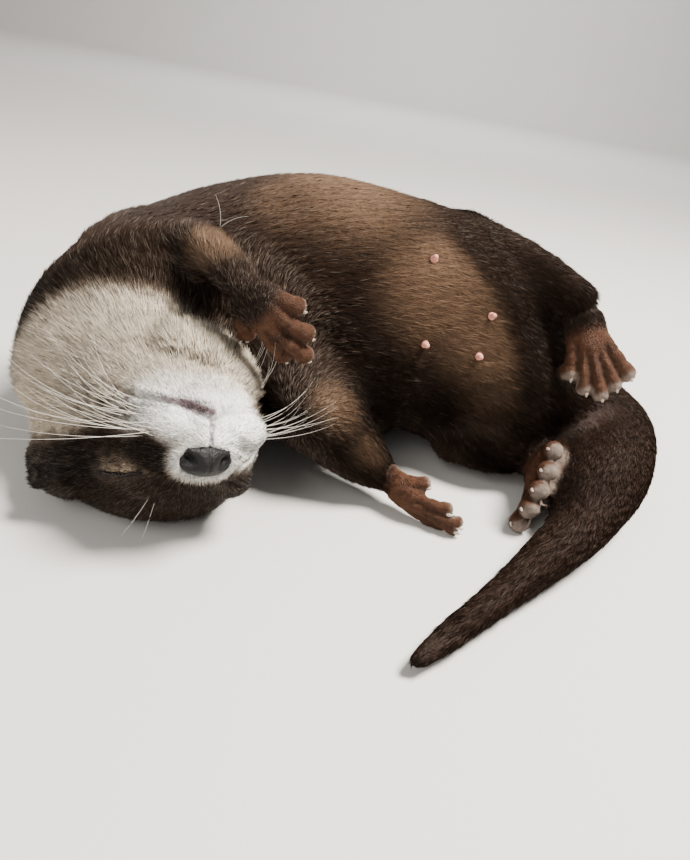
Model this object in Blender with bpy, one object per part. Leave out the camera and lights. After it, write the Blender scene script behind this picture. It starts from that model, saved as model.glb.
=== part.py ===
"""A sleeping Asian small-clawed otter, life size, lying on its back on a floor.

All lengths below are in millimetres in the animal's own room frame, +Z up, the floor at z = 0,
the head at -X, the tail at +X and the belly turned to -Y.  PLACE moves the room frame so that the
finished solids stand over the middle of their own floor print.

The flesh is one body: lofted lengths of trunk, limbs and tail are fused and smoothed, the head,
ears and paws are fused on, the floor presses it flat, and thin cuts part it into named pieces.
"""
import math

import bmesh
import bpy
from mathutils import Matrix, Vector

MM = 0.001
PLACE = Vector((8.2, -254.9, 0.0))
GAP = 0.3
FLESH_VOXEL = 1.5
TRIANGLES = 2500
# How far past its own loft a limb's or the head's cut runs, and the smallest body kept, mm3.
LIMB_SLEEVE = 2.0
PAW_SLEEVE = 1.5
HEAD_SLEEVE = 6.0
SCRAP = 300.0
SLIVER = 0.01
# The most sides of a hole that is filled after a cut.
SMALL_HOLE = 8
# Flesh this near the floor is set down on it.
ON_FLOOR = 1.0
# Angles of the rings that round off the end of a loft, and how far the end stands out.
DOME = (0.3, 0.6, 1.0, 1.35)
CUTTER_DOME = (0.6, 1.2)
CUTTER_SIDES = 7
BLUNT = 0.56

# Lofts: rows of x, y, z, half width, half height.
TRUNK = (
    (-102, 232, 37, 43, 36),
    (-107, 258, 46, 45, 43),
    (-86, 284, 52, 51, 52),
    (-48, 300, 56.8, 57, 59.2),
    (-12, 307, 55.8, 57, 58.2),
    (18, 309, 52.8, 54, 55.2),
    (43, 301, 43, 43, 44),
    (61, 296, 36, 29, 32),
    (80, 305, 30, 25, 27),
)
TAIL = (
    (72, 303, 32, 25, 27),
    (95, 312, 26, 24, 24),
    (112, 306, 22, 23, 21.5),
    (107.5, 280, 19, 23, 19),
    (97.5, 254, 16, 21, 16.5),
    (88, 229, 12.5, 14, 12.5),
    (72, 206, 10, 11, 10),
    (55, 184, 7.5, 8.5, 7.5),
    (38, 162, 6.5, 7, 6.5),
    (27, 148, 5.5, 5.5, 5.5),
)
UPPER_ARM = {
    "left": ((-126, 284, 62, 24, 24), (-111, 274, 78, 19, 18), (-86, 257, 88, 10, 10)),
    "right": ((-48, 260, 47, 25, 25), (-27, 243, 35, 20, 20), (-11, 240, 24, 15.5, 15.5)),
}
FOREARM = {
    "left": ((-86, 257, 88, 10, 10), (-70, 240, 89, 8.5, 8.5), (-55, 223, 86, 7.5, 6.5)),
    "right": ((-11, 240, 24, 15.5, 15.5), (0, 238, 17, 12, 12), (9, 236, 12.5, 8, 8)),
}
THIGH = {
    "left": ((62, 305, 48, 27, 27), (39, 313, 75, 24, 23), (22, 320, 94, 19, 18)),
    "right": ((60, 292, 32, 27, 27), (48, 286, 25, 23, 24), (38, 281, 20, 18, 18)),
}
SHANK = {
    "left": ((22, 320, 94, 19, 18), (50, 308, 91, 15, 14), (75, 295, 85, 11.5, 11)),
    "right": ((38, 281, 20, 18, 18), (56, 274, 19, 15, 15), (76, 280, 16, 9.5, 9.5)),
}

# The head in its own frame: x forward from the nose pad, y to its left, z to its crown.
NOSE_PLACE = Vector((-50.5, 178.1, 43.6))
HEAD_FORWARD = Vector((0.585, -0.690, 0.426))
HEAD_CROWN = Vector((0.098, -0.465, -0.880))
# Rows of x, half width, height of the widest line, crown height, throat depth.
HEAD_RINGS = (
    (-2, 11, -5, 4, -12),
    (-6, 18, -6, 9.5, -17),
    (-12, 23, -7, 15, -21),
    (-20, 27, -7, 21, -27),
    (-30, 32, -7, 27.5, -33),
    (-42, 37.5, -7, 29.5, -41),
    (-55, 42, -8, 28.5, -49),
    (-68, 44.5, -9, 26, -55),
    (-80, 44.5, -12, 18, -58),
)
HEAD_SQUARE = 0.72
# How far the side that lies on the floor is pressed in, and how far back from the nose that is in full.
CHEEK_PRESS = 0.62
PRESS_BACK = 45

# Lumps of the head: x, y, z, half length, half width, half depth.
HEAD_LUMPS = (
    (-10.5, 12.5, -8.5, 11, 11, 8),
    (-10.5, -12.5, -8.5, 11, 11, 8),
    (-16, 0, -16.5, 12, 12, 6.8),
    (-20, 15, 8, 12, 9, 9),
    (-20, -15, 8, 12, 9, 9),
    (-60, 29, 10, 26, 17, 15),
)
NOSE = Vector((-4.5, 0, 1.5))
NOSE_HALF = Vector((6, 9.2, 5.4))
# Ears and closed eyes in the head's frame: place, half sizes, turn about the crown line.
EARS = {
    "left": ((-46, 43, 14), (3.2, 6.5, 8), 35),
    "right": ((-58, -37.5, -3), (3.2, 6.5, 8), -35),
}
EYELIDS = {
    "left": ((-19, 19.5, 9), (7.2, 4.5, 4.5), 35),
    "right": ((-19, -19.5, 9), (7.2, 4.5, 4.5), -35),
}

# Paws: wrist or ankle, lines, palm size, digit sizes.  A digit is the share of the palm
# length where it starts, its length, its splay and its curl in degrees, first digit first.
PAWS = {
    "forepaw_left": {
        "wrist": (-55, 223, 86), "ahead": (0.74, -0.16, -0.65), "back": (-0.25, -0.95, 0.1),
        "hand": 1, "palm": (15, 20, 10), "radius": 3.2, "pad": 1.18,
        "digits": ((0.25, 12, 38, 40), (0.75, 18, 16, 40), (0.92, 20, 4, 42),
                   (0.8, 16, -8, 45), (0.35, 13, -16, 40)),
    },
    "forepaw_right": {
        "wrist": (9, 236, 12.5), "ahead": (0.85, -0.5, -0.2), "back": (-0.5, -0.8, -0.1),
        "hand": -1, "palm": (18, 15, 10), "radius": 3.0, "pad": 1.18,
        "digits": ((0.15, 13, 10, 35), (0.75, 15, 2, 30), (0.92, 18, -2, 30),
                   (0.92, 18, -5, 30), (0.8, 16, -8, 30)),
    },
    "hind_foot_left": {
        "wrist": (75, 295, 86), "ahead": (0.36, -0.64, -0.68), "back": (-0.1, -0.9, 0.4),
        "hand": 1, "palm": (25, 18, 12), "radius": 3.6, "pad": 1.2,
        "digits": ((0.7, 15, 18, 25), (0.86, 18, 9, 25), (0.92, 20, 0, 25),
                   (0.86, 19, -11, 25), (0.78, 19, -23, 25)),
    },
    "hind_foot_right": {
        "wrist": (78, 280, 16), "ahead": (-0.12, -0.98, 0.1), "back": (-0.956, 0.136, 0.19),
        "hand": -1, "palm": (26, 24, 13), "radius": 3.6, "pad": 1.2,
        "digits": ((0.55, 13, 20, -10), (0.8, 17, 10, -10), (0.92, 19, 0, -10),
                   (0.95, 21, -12, -10), (0.9, 22, -24, -10)),
    },
}


# Thin cuts through trunk and tail: place, line across the cut, reach.
SLABS = (
    ((-100, 270, 50), (0.55, 0.8, 0.2), 76),
    ((-28, 304, 57), (1, 0.1, 0), 62),
    ((50, 305, 45), (1, -0.1, 0), 66),
    ((103.5, 268, 17), (0.3, 0.95, 0), 30),
    ((63.5, 195, 9), (0.6, 0.8, 0), 16),
)
# A place on each piece that those cuts leave.
ANCHORS = {
    "neck": (-125, 240, 40),
    "chest": (-60, 290, 112),
    "abdomen": (10, 310, 113),
    "tail_base": (112, 306, 38),
    "tail_middle": (90, 232, 27),
    "tail_tip": (30, 152, 11),
}
# Colour and roughness of each finish, and the pieces that don't carry the dark coat.
FINISHES = {
    "coat": ((0.045, 0.026, 0.018), 0.75),
    "pale_coat": ((0.42, 0.38, 0.33), 0.75),
    "paw_skin": ((0.13, 0.065, 0.045), 0.6),
    "nose_leather": ((0.03, 0.03, 0.033), 0.4),
}
SKINS = {
    "pale_coat": ("head", "eyelid_left", "eyelid_right"),
    "paw_skin": ("forepaw_left", "forepaw_right", "hind_foot_left", "hind_foot_right"),
    "nose_leather": ("nose",),
}


def curve_rows(rows, steps):
    """Rows of a smooth curve that passes through every given row of numbers."""
    first = [2 * a - b for a, b in zip(rows[0], rows[1])]
    last = [2 * a - b for a, b in zip(rows[-1], rows[-2])]
    full = [first] + [list(row) for row in rows] + [last]
    result = []
    for k in range(1, len(full) - 2):
        for step in range(steps):
            t = step / steps
            result.append([
                0.5 * (2 * b + (c - a) * t + (2 * a - 5 * b + 4 * c - d) * t * t
                       + (3 * b - a - 3 * c + d) * t ** 3)
                for a, b, c, d in zip(full[k - 1], full[k], full[k + 1], full[k + 2])
            ])
    result.append(list(rows[-1]))
    return result


def close_rings(bm, rings):
    """One closed body over rings of points, each end drawn in to its middle."""
    made = [[bm.verts.new(point) for point in ring] for ring in rings]
    count = len(made[0])
    for low, high in zip(made, made[1:]):
        for k in range(count):
            after = (k + 1) % count
            bm.faces.new((low[k], low[after], high[after], high[k]))
    for ring, flip in ((made[0], True), (made[-1], False)):
        middle = bm.verts.new(sum((v.co for v in ring), Vector()) / count)
        for k in range(count):
            after = (k + 1) % count
            corner = (ring[after], ring[k], middle) if flip else (ring[k], ring[after], middle)
            bm.faces.new(corner)


def loft(bm, rows, steps=5, sides=20, grow=0.0, above=Vector((0, 0, 1)), dome=DOME):
    """A round closed body along rows of x, y, z, half width, half height."""
    rows = curve_rows(rows, steps)
    points = [Vector(row[:3]) for row in rows]
    rings = []
    for k, row in enumerate(rows):
        run = (points[min(k + 1, len(rows) - 1)] - points[max(k - 1, 0)]).normalized()
        over = (above - run * above.dot(run)).normalized()
        across = over.cross(run)
        stops = [(0.0, 1.0)]
        if k == 0:
            stops = [(-math.sin(a), math.cos(a)) for a in reversed(dome)] + stops
        if k == len(rows) - 1:
            stops = stops + [(math.sin(a), math.cos(a)) for a in dome]
        half = Vector((row[3] + grow, row[4] + grow))
        for along, share in stops:
            base = points[k] + run * along * half.length * BLUNT
            rings.append([
                base + across * half.x * share * math.cos(a) + over * half.y * share * math.sin(a)
                for a in (2 * math.pi * n / sides for n in range(sides))
            ])
    close_rings(bm, rings)


def ball(bm, place, half, frame=None, divisions=3):
    """An egg of the given half sizes, turned by a frame."""
    turn = frame.to_3x3() if frame else Matrix.Identity(3)
    made = bmesh.ops.create_icosphere(bm, subdivisions=divisions, radius=1.0)["verts"]
    for vertex in made:
        scaled = Vector(a * b for a, b in zip(vertex.co, half))
        vertex.co = place + turn @ scaled


def head_frame():
    """Where the head lies: its nose, its forward line and its crown."""
    forward = HEAD_FORWARD.normalized()
    left = HEAD_CROWN.cross(forward).normalized()
    crown = forward.cross(left)
    turn = Matrix((forward, left, crown)).transposed().to_4x4()
    return Matrix.Translation(NOSE_PLACE) @ turn


def head_rings(bm, sides, steps, grow):
    """The closed shell of skull and muzzle, its floor side pressed in."""
    frame = head_frame()
    rings = []
    for x, half, waist, crown, throat in curve_rows(HEAD_RINGS, steps):
        ring = []
        for n in range(sides):
            a = 2 * math.pi * n / sides
            high = (crown + grow if math.sin(a) > 0 else throat - grow) - waist
            lift = abs(math.sin(a)) ** (HEAD_SQUARE if high > 0 else 1) * high
            if high > 0 and math.cos(a) < 0:
                lift *= 1 - CHEEK_PRESS * min(1, -x / PRESS_BACK) * math.cos(a) ** 2
            out = math.copysign(abs(math.cos(a)) ** HEAD_SQUARE, math.cos(a))
            ring.append(frame @ Vector((x, (half + grow) * out, waist + lift)))
        rings.append(ring)
    nose_end = frame @ Vector((1.5 + grow, 0, -5))
    rings.insert(0, [point.lerp(nose_end, 0.75) for point in rings[0]])
    nape = frame @ Vector((-94 - grow, 0, -14))
    rings.append([point.lerp(nape, 0.45) for point in rings[-1]])
    rings.append([point.lerp(nape, 0.55) for point in rings[-1]])
    close_rings(bm, rings)


def head_ball(bm, place, half, turn=0, grow=0.0, divisions=3):
    """An egg placed in the head's frame."""
    frame = head_frame()
    half = [size + grow for size in half]
    turned = frame @ Matrix.Rotation(math.radians(turn), 4, "Z")
    ball(bm, frame @ Vector(place), half, turned, divisions)


def head_flesh(bm):
    """Skull, cheeks, muzzle pads, chin, brows and ears in one clump."""
    head_rings(bm, 28, 4, 0.0)
    for x, y, z, long, wide, deep in HEAD_LUMPS:
        head_ball(bm, (x, y, z), (long, wide, deep))
    for place, half, turn in EARS.values():
        head_ball(bm, place, half, turn)


def paw(bm, spec, grow=0.0):
    """A palm and five blunt digits, from its wrist or ankle outward."""
    ahead = Vector(spec["ahead"]).normalized()
    back = Vector(spec["back"])
    back = (back - ahead * back.dot(ahead)).normalized()
    first = ahead.cross(back) * spec["hand"]
    wrist = Vector(spec["wrist"])
    long, wide, thick = spec["palm"]
    frame = Matrix((ahead, first, back)).transposed().to_4x4()
    middle = wrist + ahead * long * 0.5
    ball(bm, middle, (long * 0.68 + grow, wide * 0.5 + grow, thick * 0.5 + grow), frame)
    for k, (share, length, splay, curl) in enumerate(spec["digits"]):
        across = (0.5 - k / 4) * (wide - 2 * spec["radius"])
        turn = math.radians(splay)
        run = ahead * math.cos(turn) + first * math.sin(turn)
        point = wrist + ahead * long * share + first * across
        rows = [(*point, spec["radius"] * 1.02, spec["radius"] * 1.0)]
        for joint in range(3):
            bend = math.radians(curl) * (0.25, 0.7, 1.0)[joint]
            step = run * math.cos(bend) - back * math.sin(bend)
            point = point + step * length * (0.42, 0.32, 0.26)[joint]
            radius = spec["radius"] * (0.95, 1.0, spec["pad"])[joint]
            rows.append((*point, radius, radius * 0.95))
        loft(bm, rows, steps=2, sides=10, grow=grow, above=back)


def paw_sleeve(bm, spec, grow):
    """A blunt sleeve round a whole paw, from its wrist or ankle to past its digits."""
    ahead = Vector(spec["ahead"]).normalized()
    back = Vector(spec["back"]).normalized()
    wrist = Vector(spec["wrist"])
    long, wide, thick = spec["palm"]
    reach = max(length for share, length, splay, curl in spec["digits"])
    droop = reach * math.sin(math.radians(spec["digits"][2][3])) * 0.6
    rows = (
        (*(wrist + ahead * long * 0.15), wide * 0.5, thick * 0.55),
        (*(wrist + ahead * long), wide * 0.62, thick * 0.62),
        (*(wrist + ahead * (long + reach) - back * droop), wide * 0.95, thick * 0.75),
    )
    loft(bm, rows, steps=1, sides=CUTTER_SIDES, grow=grow, above=back, dome=CUTTER_DOME)


def mesh_object(name, bm):
    """A linked object around a mesh, which faces out."""
    bmesh.ops.recalc_face_normals(bm, faces=bm.faces)
    if bm.calc_volume(signed=True) < 0:
        bmesh.ops.reverse_faces(bm, faces=bm.faces)
    mesh = bpy.data.meshes.new(name)
    bm.to_mesh(mesh)
    bm.free()
    made = bpy.data.objects.new(name, mesh)
    bpy.context.scene.collection.objects.link(made)
    return made


def settle(target):
    """The object's mesh as its modifiers leave it."""
    depsgraph = bpy.context.evaluated_depsgraph_get()
    mesh = bpy.data.meshes.new_from_object(target.evaluated_get(depsgraph))
    target.modifiers.clear()
    target.data = mesh
    return target


def fuse(target, voxel, rounds, factor=0.5):
    """One skin round everything in the object, smoothed."""
    remesh = target.modifiers.new("fuse", "REMESH")
    remesh.mode = "VOXEL"
    remesh.voxel_size = voxel
    smooth = target.modifiers.new("smooth", "SMOOTH")
    smooth.factor = factor
    smooth.iterations = rounds
    return settle(target)


def add_to(target, bm):
    """Loose shapes put into the object, ready to be fused."""
    bm.from_mesh(target.data)
    bm.to_mesh(target.data)
    bm.free()


def flesh(fine):
    """The whole otter as one smooth closed skin, in millimetres."""
    bm = bmesh.new()
    loft(bm, TRUNK, sides=32)
    loft(bm, TAIL, sides=20)
    for side in ("left", "right"):
        for rows in (UPPER_ARM, FOREARM, THIGH, SHANK):
            loft(bm, rows[side])
    body = fuse(mesh_object("flesh", bm), 2.6, 14)
    bm = bmesh.new()
    head_flesh(bm)
    for spec in PAWS.values():
        paw(bm, spec)
    add_to(body, bm)
    return fuse(body, fine, 3)


def press_flat(body):
    """What would lie below the floor is cut away."""
    bm = bmesh.new()
    bm.from_mesh(body.data)
    everything = bm.verts[:] + bm.edges[:] + bm.faces[:]
    cut = bmesh.ops.bisect_plane(
        bm, geom=everything, dist=0.01, plane_co=(0, 0, 0), plane_no=(0, 0, -1), clear_outer=True
    )["geom_cut"]
    rim = [item for item in cut if isinstance(item, bmesh.types.BMEdge)]
    bmesh.ops.holes_fill(bm, edges=rim)
    bmesh.ops.triangulate(bm, faces=bm.faces)
    bm.to_mesh(body.data)
    bm.free()


def cut(target, cutter, operation):
    """The target with the cutter taken away, or only what lies inside it."""
    step = target.modifiers.new(operation, "BOOLEAN")
    step.object = cutter
    step.operation = operation
    step.solver = "EXACT"
    settle(target)
    target.modifiers.clear()
    bpy.data.objects.remove(cutter)


def clean(bm):
    """Slivers and folded pairs of triangles that a cut leaves are taken out and the holes filled."""
    bmesh.ops.remove_doubles(bm, verts=bm.verts, dist=SLIVER)
    bmesh.ops.dissolve_degenerate(bm, edges=bm.edges, dist=SLIVER)
    bmesh.ops.triangulate(bm, faces=bm.faces)
    twins = {}
    for face in bm.faces:
        twins.setdefault(frozenset(face.verts), []).append(face)
    folded = [face for pair in twins.values() if len(pair) > 1 for face in pair]
    bmesh.ops.delete(bm, geom=folded, context="FACES")
    open_edges = [edge for edge in bm.edges if edge.is_boundary]
    filled = bmesh.ops.holes_fill(bm, edges=open_edges, sides=SMALL_HOLE)["faces"]
    bmesh.ops.triangulate(bm, faces=filled)


def islands(source):
    """The loose closed bodies of an object, each as an object of its own."""
    bm = bmesh.new()
    bm.from_mesh(source.data)
    clean(bm)
    bm.verts.ensure_lookup_table()
    unseen = set(bm.verts)
    groups = []
    while unseen:
        group = set()
        front = [min(unseen, key=lambda vertex: vertex.index)]
        while front:
            vertex = front.pop()
            if vertex in group:
                continue
            group.add(vertex)
            front.extend(edge.other_vert(vertex) for edge in vertex.link_edges)
        unseen -= group
        groups.append(group)
    bodies = []
    for group in groups:
        piece = bmesh.new()
        twins = {vertex: piece.verts.new(vertex.co) for vertex in sorted(group, key=lambda v: v.index)}
        for face in bm.faces:
            if face.verts[0] in group:
                piece.faces.new([twins[vertex] for vertex in face.verts])
        if piece.calc_volume() > SCRAP:
            bodies.append(mesh_object("island", piece))
        else:
            piece.free()
    bm.free()
    bpy.data.objects.remove(source)
    return bodies


def volume(body):
    """How much room a closed body takes."""
    bm = bmesh.new()
    bm.from_mesh(body.data)
    size = bm.calc_volume()
    bm.free()
    return size


def take(rest, name, shape, grow):
    """The flesh inside a shape, as its own piece, with a thin gap left round it."""
    piece = bpy.data.objects.new(name, rest.data.copy())
    bpy.context.scene.collection.objects.link(piece)
    for target, operation, size in ((piece, "INTERSECT", grow), (rest, "DIFFERENCE", grow + GAP)):
        bm = bmesh.new()
        shape(bm, size)
        bmesh.ops.triangulate(bm, faces=bm.faces, quad_method="FIXED")
        cut(target, mesh_object("cutter", bm), operation)
    bodies = sorted(islands(piece), key=volume)
    for scrap in bodies[:-1]:
        bpy.data.objects.remove(scrap)
    bodies[-1].name = name
    return bodies[-1]


def slab(bm, place, across, reach):
    """A thin square plate, as thick as the gap between two solids."""
    turn = Vector(across).to_track_quat("Z", "Y").to_matrix().to_4x4()
    size = Matrix.Diagonal((2 * reach, 2 * reach, GAP, 1.0))
    bmesh.ops.create_cube(bm, size=1.0, matrix=Matrix.Translation(place) @ turn @ size)


def part_limbs(rest):
    """Each arm's and leg's lengths, cut out of the flesh from the far end inward."""
    pieces = []
    for name, spec in PAWS.items():
        pieces.append(take(rest, name, lambda bm, grow, spec=spec: paw_sleeve(bm, spec, grow), PAW_SLEEVE))
    for side in ("left", "right"):
        lengths = (
            ("forearm_", FOREARM), ("upper_arm_", UPPER_ARM), ("shank_", SHANK), ("thigh_", THIGH),
        )
        for name, rows in lengths:
            def shape(bm, grow, rows=rows[side]):
                loft(bm, rows, steps=1, sides=CUTTER_SIDES, grow=grow, dome=CUTTER_DOME)
            pieces.append(take(rest, name + side, shape, LIMB_SLEEVE))
    return pieces


def part_head(rest):
    """The head, cut out of the neck, and the small pieces set into it."""
    head = take(rest, "head", lambda bm, grow: head_rings(bm, 12, 1, grow), HEAD_SLEEVE)
    small = [("nose", NOSE, NOSE_HALF, 0)]
    small += [("ear_" + side, *spec) for side, spec in EARS.items()]
    small += [("eyelid_" + side, *spec) for side, spec in EYELIDS.items()]
    pieces = [head]
    for name, place, half, turn in small:
        for body in (head, rest):
            bm = bmesh.new()
            head_ball(bm, place, half, turn, GAP, 2)
            cut(body, mesh_object("cutter", bm), "DIFFERENCE")
        bm = bmesh.new()
        head_ball(bm, place, half, turn, 0.0, 2)
        pieces.append(mesh_object(name, bm))
    pieces[0] = max(islands(head), key=volume)
    pieces[0].name = "head"
    return pieces


def part_body(rest):
    """Neck, chest, belly and tail lengths, parted by plane cuts."""
    for place, across, reach in SLABS:
        bm = bmesh.new()
        slab(bm, place, across, reach)
        cut(rest, mesh_object("cutter", bm), "DIFFERENCE")
    pieces = []
    bodies = islands(rest)
    for name, anchor in ANCHORS.items():
        anchor = Vector(anchor)
        nearest = min(bodies, key=lambda body: min((v.co - anchor).length for v in body.data.vertices))
        nearest.name = name
        pieces.append(nearest)
    for body in bodies:
        if body not in pieces:
            bpy.data.objects.remove(body)
    return pieces


def finish(piece, finish_name):
    """A piece in metres over the middle of its floor print, with its finish."""
    piece.data.transform(Matrix.Scale(MM, 4) @ Matrix.Translation(PLACE))
    piece.data.name = piece.name
    piece.data.shade_smooth()
    colour, roughness = FINISHES[finish_name]
    material = bpy.data.materials.new(piece.name + "_" + finish_name)
    material.use_nodes = True
    shader = material.node_tree.nodes["Principled BSDF"]
    shader.inputs["Base Color"].default_value = (*colour, 1.0)
    shader.inputs["Roughness"].default_value = roughness
    shader.inputs["Metallic"].default_value = 0.0
    piece.data.materials.clear()
    piece.data.materials.append(material)


def build():
    """The whole otter, parted into its named pieces."""
    for item in list(bpy.data.objects):
        bpy.data.objects.remove(item)
    rest = flesh(FLESH_VOXEL)
    press_flat(rest)
    thin = rest.modifiers.new("thin", "DECIMATE")
    thin.ratio = TRIANGLES / len(rest.data.polygons)
    settle(rest)
    for vertex in rest.data.vertices:
        if vertex.co.z < ON_FLOOR:
            vertex.co.z = 0.0
    pieces = part_limbs(rest) + part_head(rest) + part_body(rest)
    for piece in pieces:
        skin = next((skin for skin, names in SKINS.items() if piece.name in names), "coat")
        finish(piece, skin)


build()
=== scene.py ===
import math

import bmesh
import bpy
import numpy as np
from mathutils import Matrix, Vector
from mathutils.bvhtree import BVHTree


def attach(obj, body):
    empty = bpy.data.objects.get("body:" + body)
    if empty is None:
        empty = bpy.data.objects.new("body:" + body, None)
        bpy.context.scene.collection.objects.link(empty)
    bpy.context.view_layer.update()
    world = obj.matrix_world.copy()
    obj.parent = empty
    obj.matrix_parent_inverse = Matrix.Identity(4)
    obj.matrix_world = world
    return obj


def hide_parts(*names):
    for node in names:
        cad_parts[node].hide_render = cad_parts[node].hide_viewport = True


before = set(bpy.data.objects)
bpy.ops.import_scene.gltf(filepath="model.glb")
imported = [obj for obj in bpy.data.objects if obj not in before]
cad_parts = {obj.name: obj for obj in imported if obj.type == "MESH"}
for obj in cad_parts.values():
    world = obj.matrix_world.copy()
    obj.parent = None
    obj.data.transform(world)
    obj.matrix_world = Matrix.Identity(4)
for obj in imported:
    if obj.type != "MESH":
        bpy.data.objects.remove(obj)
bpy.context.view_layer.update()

# ---------------------------------------------------------------------------
# Trunk, limbs and tail.  One soft body of flesh lies on its back and right side:
# the trunk is curled to the right, both arms and legs hang loose, and the tail
# comes round in front.  It is modelled in millimetres, and PLACE brings it home.
MM = 0.001
PLACE = Vector((8.2, -254.9, 0.0))
# Rows hold x, y, z, half width and half height, from the head end to the far end.

TRUNK = (
    (-102, 232, 37, 43, 36),
    (-107, 258, 46, 45, 43),
    (-86, 284, 52, 51, 52),
    (-48, 300, 56.8, 57, 59.2),
    (-12, 307, 55.8, 57, 58.2),
    (18, 309, 52.8, 54, 55.2),
    (43, 301, 43, 43, 44),
    (61, 296, 36, 29, 32),
    (80, 305, 30, 25, 27),
)
TAIL = (
    (72, 303, 32, 25, 27),
    (95, 312, 26, 24, 24),
    (112, 306, 22, 23, 21.5),
    (107.5, 280, 19, 23, 19),
    (97.5, 254, 16, 21, 16.5),
    (88, 229, 12.5, 14, 12.5),
    (72, 206, 10, 11, 10),
    (55, 184, 7.5, 8.5, 7.5),
    (38, 162, 6.5, 7, 6.5),
    (27, 148, 5.5, 5.5, 5.5),
)
ARMS = {
    "left": (
        (-126, 284, 62, 24, 24), (-111, 274, 78, 19, 18), (-86, 257, 88, 10, 10),
        (-70, 240, 89, 8.5, 8.5), (-55, 223, 86, 7.5, 6.5),
    ),
    "right": (
        (-48, 260, 47, 25, 25), (-27, 243, 35, 20, 20), (-11, 240, 24, 15.5, 15.5),
        (0, 238, 17, 12, 12), (9, 236, 12.5, 8, 8),
    ),
}
LEGS = {
    "left": (
        (62, 305, 48, 27, 27), (39, 313, 75, 24, 23), (22, 320, 93, 19, 18),
        (50, 308, 91, 15, 14), (75, 295, 85, 11.5, 11),
    ),
    "right": (
        (60, 292, 32, 27, 27), (48, 286, 25, 23, 24), (38, 281, 20, 18, 18),
        (56, 274, 19, 15, 15), (76, 280, 16, 9.5, 9.5),
    ),
}
# Rows where an upper arm or a thigh ends and the next length begins.
JOINT_ROW = 2


def curve_rows(rows, steps):
    """Rows of a smooth curve that passes through every given row of numbers."""
    first = [2 * a - b for a, b in zip(rows[0], rows[1])]
    last = [2 * a - b for a, b in zip(rows[-1], rows[-2])]
    full = [first] + [list(row) for row in rows] + [last]
    result = []
    for k in range(1, len(full) - 2):
        for step in range(steps):
            t = step / steps
            result.append([
                0.5 * (2 * b + (c - a) * t + (2 * a - 5 * b + 4 * c - d) * t * t
                       + (3 * b - a - 3 * c + d) * t ** 3)
                for a, b, c, d in zip(full[k - 1], full[k], full[k + 1], full[k + 2])
            ])
    result.append(list(rows[-1]))
    return result


def close_rings(bm, rings):
    """One closed body over rings of points, each end drawn in to its middle."""
    made = [[bm.verts.new(point) for point in ring] for ring in rings]
    count = len(made[0])
    for low, high in zip(made, made[1:]):
        for k in range(count):
            after = (k + 1) % count
            bm.faces.new((low[k], low[after], high[after], high[k]))
    for ring, flip in ((made[0], True), (made[-1], False)):
        middle = bm.verts.new(sum((v.co for v in ring), Vector()) / count)
        for k in range(count):
            after = (k + 1) % count
            corner = (ring[after], ring[k], middle) if flip else (ring[k], ring[after], middle)
            bm.faces.new(corner)


def length_of_flesh(bm, rows, steps=5, sides=20, above=Vector((0, 0, 1))):
    """A round closed body along rows of x, y, z, half width, half height."""
    rows = curve_rows(rows, steps)
    points = [Vector(row[:3]) for row in rows]
    dome = (0.3, 0.6, 1.0, 1.35)
    dome_height = 0.56
    rings = []
    for k, row in enumerate(rows):
        run = (points[min(k + 1, len(rows) - 1)] - points[max(k - 1, 0)]).normalized()
        over = (above - run * above.dot(run)).normalized()
        across = over.cross(run)
        stops = [(0.0, 1.0)]
        if k == 0:
            stops = [(-math.sin(a), math.cos(a)) for a in reversed(dome)] + stops
        if k == len(rows) - 1:
            stops = stops + [(math.sin(a), math.cos(a)) for a in dome]
        half = Vector((row[3], row[4]))
        for along, share in stops:
            base = points[k] + run * along * half.length * dome_height
            rings.append([
                base + across * half.x * share * math.cos(a) + over * half.y * share * math.sin(a)
                for a in (2 * math.pi * n / sides for n in range(sides))
            ])
    close_rings(bm, rings)


def egg(bm, place, half, turn=None, divisions=3):
    """A smooth lump of the given half sizes."""
    turn = turn.to_3x3() if turn else Matrix.Identity(3)
    for vertex in bmesh.ops.create_icosphere(bm, subdivisions=divisions, radius=1.0)["verts"]:
        vertex.co = place + turn @ Vector(a * b for a, b in zip(vertex.co, half))


def new_piece(name, bm):
    """A linked object around a mesh, which faces out."""
    bmesh.ops.recalc_face_normals(bm, faces=bm.faces)
    mesh = bpy.data.meshes.new(name)
    bm.to_mesh(mesh)
    bm.free()
    piece = bpy.data.objects.new(name, mesh)
    bpy.context.scene.collection.objects.link(piece)
    return piece


def settle(piece):
    """The piece's mesh as its modifiers leave it."""
    depsgraph = bpy.context.evaluated_depsgraph_get()
    mesh = bpy.data.meshes.new_from_object(piece.evaluated_get(depsgraph))
    piece.modifiers.clear()
    piece.data = mesh


def grow_together(piece, voxel, rounds):
    """One skin round everything in the piece, smoothed."""
    remesh = piece.modifiers.new("grow", "REMESH")
    remesh.mode = "VOXEL"
    remesh.voxel_size = voxel
    smooth = piece.modifiers.new("smooth", "SMOOTH")
    smooth.factor = 0.5
    smooth.iterations = rounds
    settle(piece)


flesh = bmesh.new()
length_of_flesh(flesh, TRUNK, sides=32)
length_of_flesh(flesh, TAIL)
for side in ("left", "right"):
    for rows in (ARMS[side], LEGS[side]):
        length_of_flesh(flesh, rows[:JOINT_ROW + 1])
        length_of_flesh(flesh, rows[JOINT_ROW:])
skin = new_piece("skin", flesh)
grow_together(skin, voxel=2.6, rounds=14)

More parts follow.
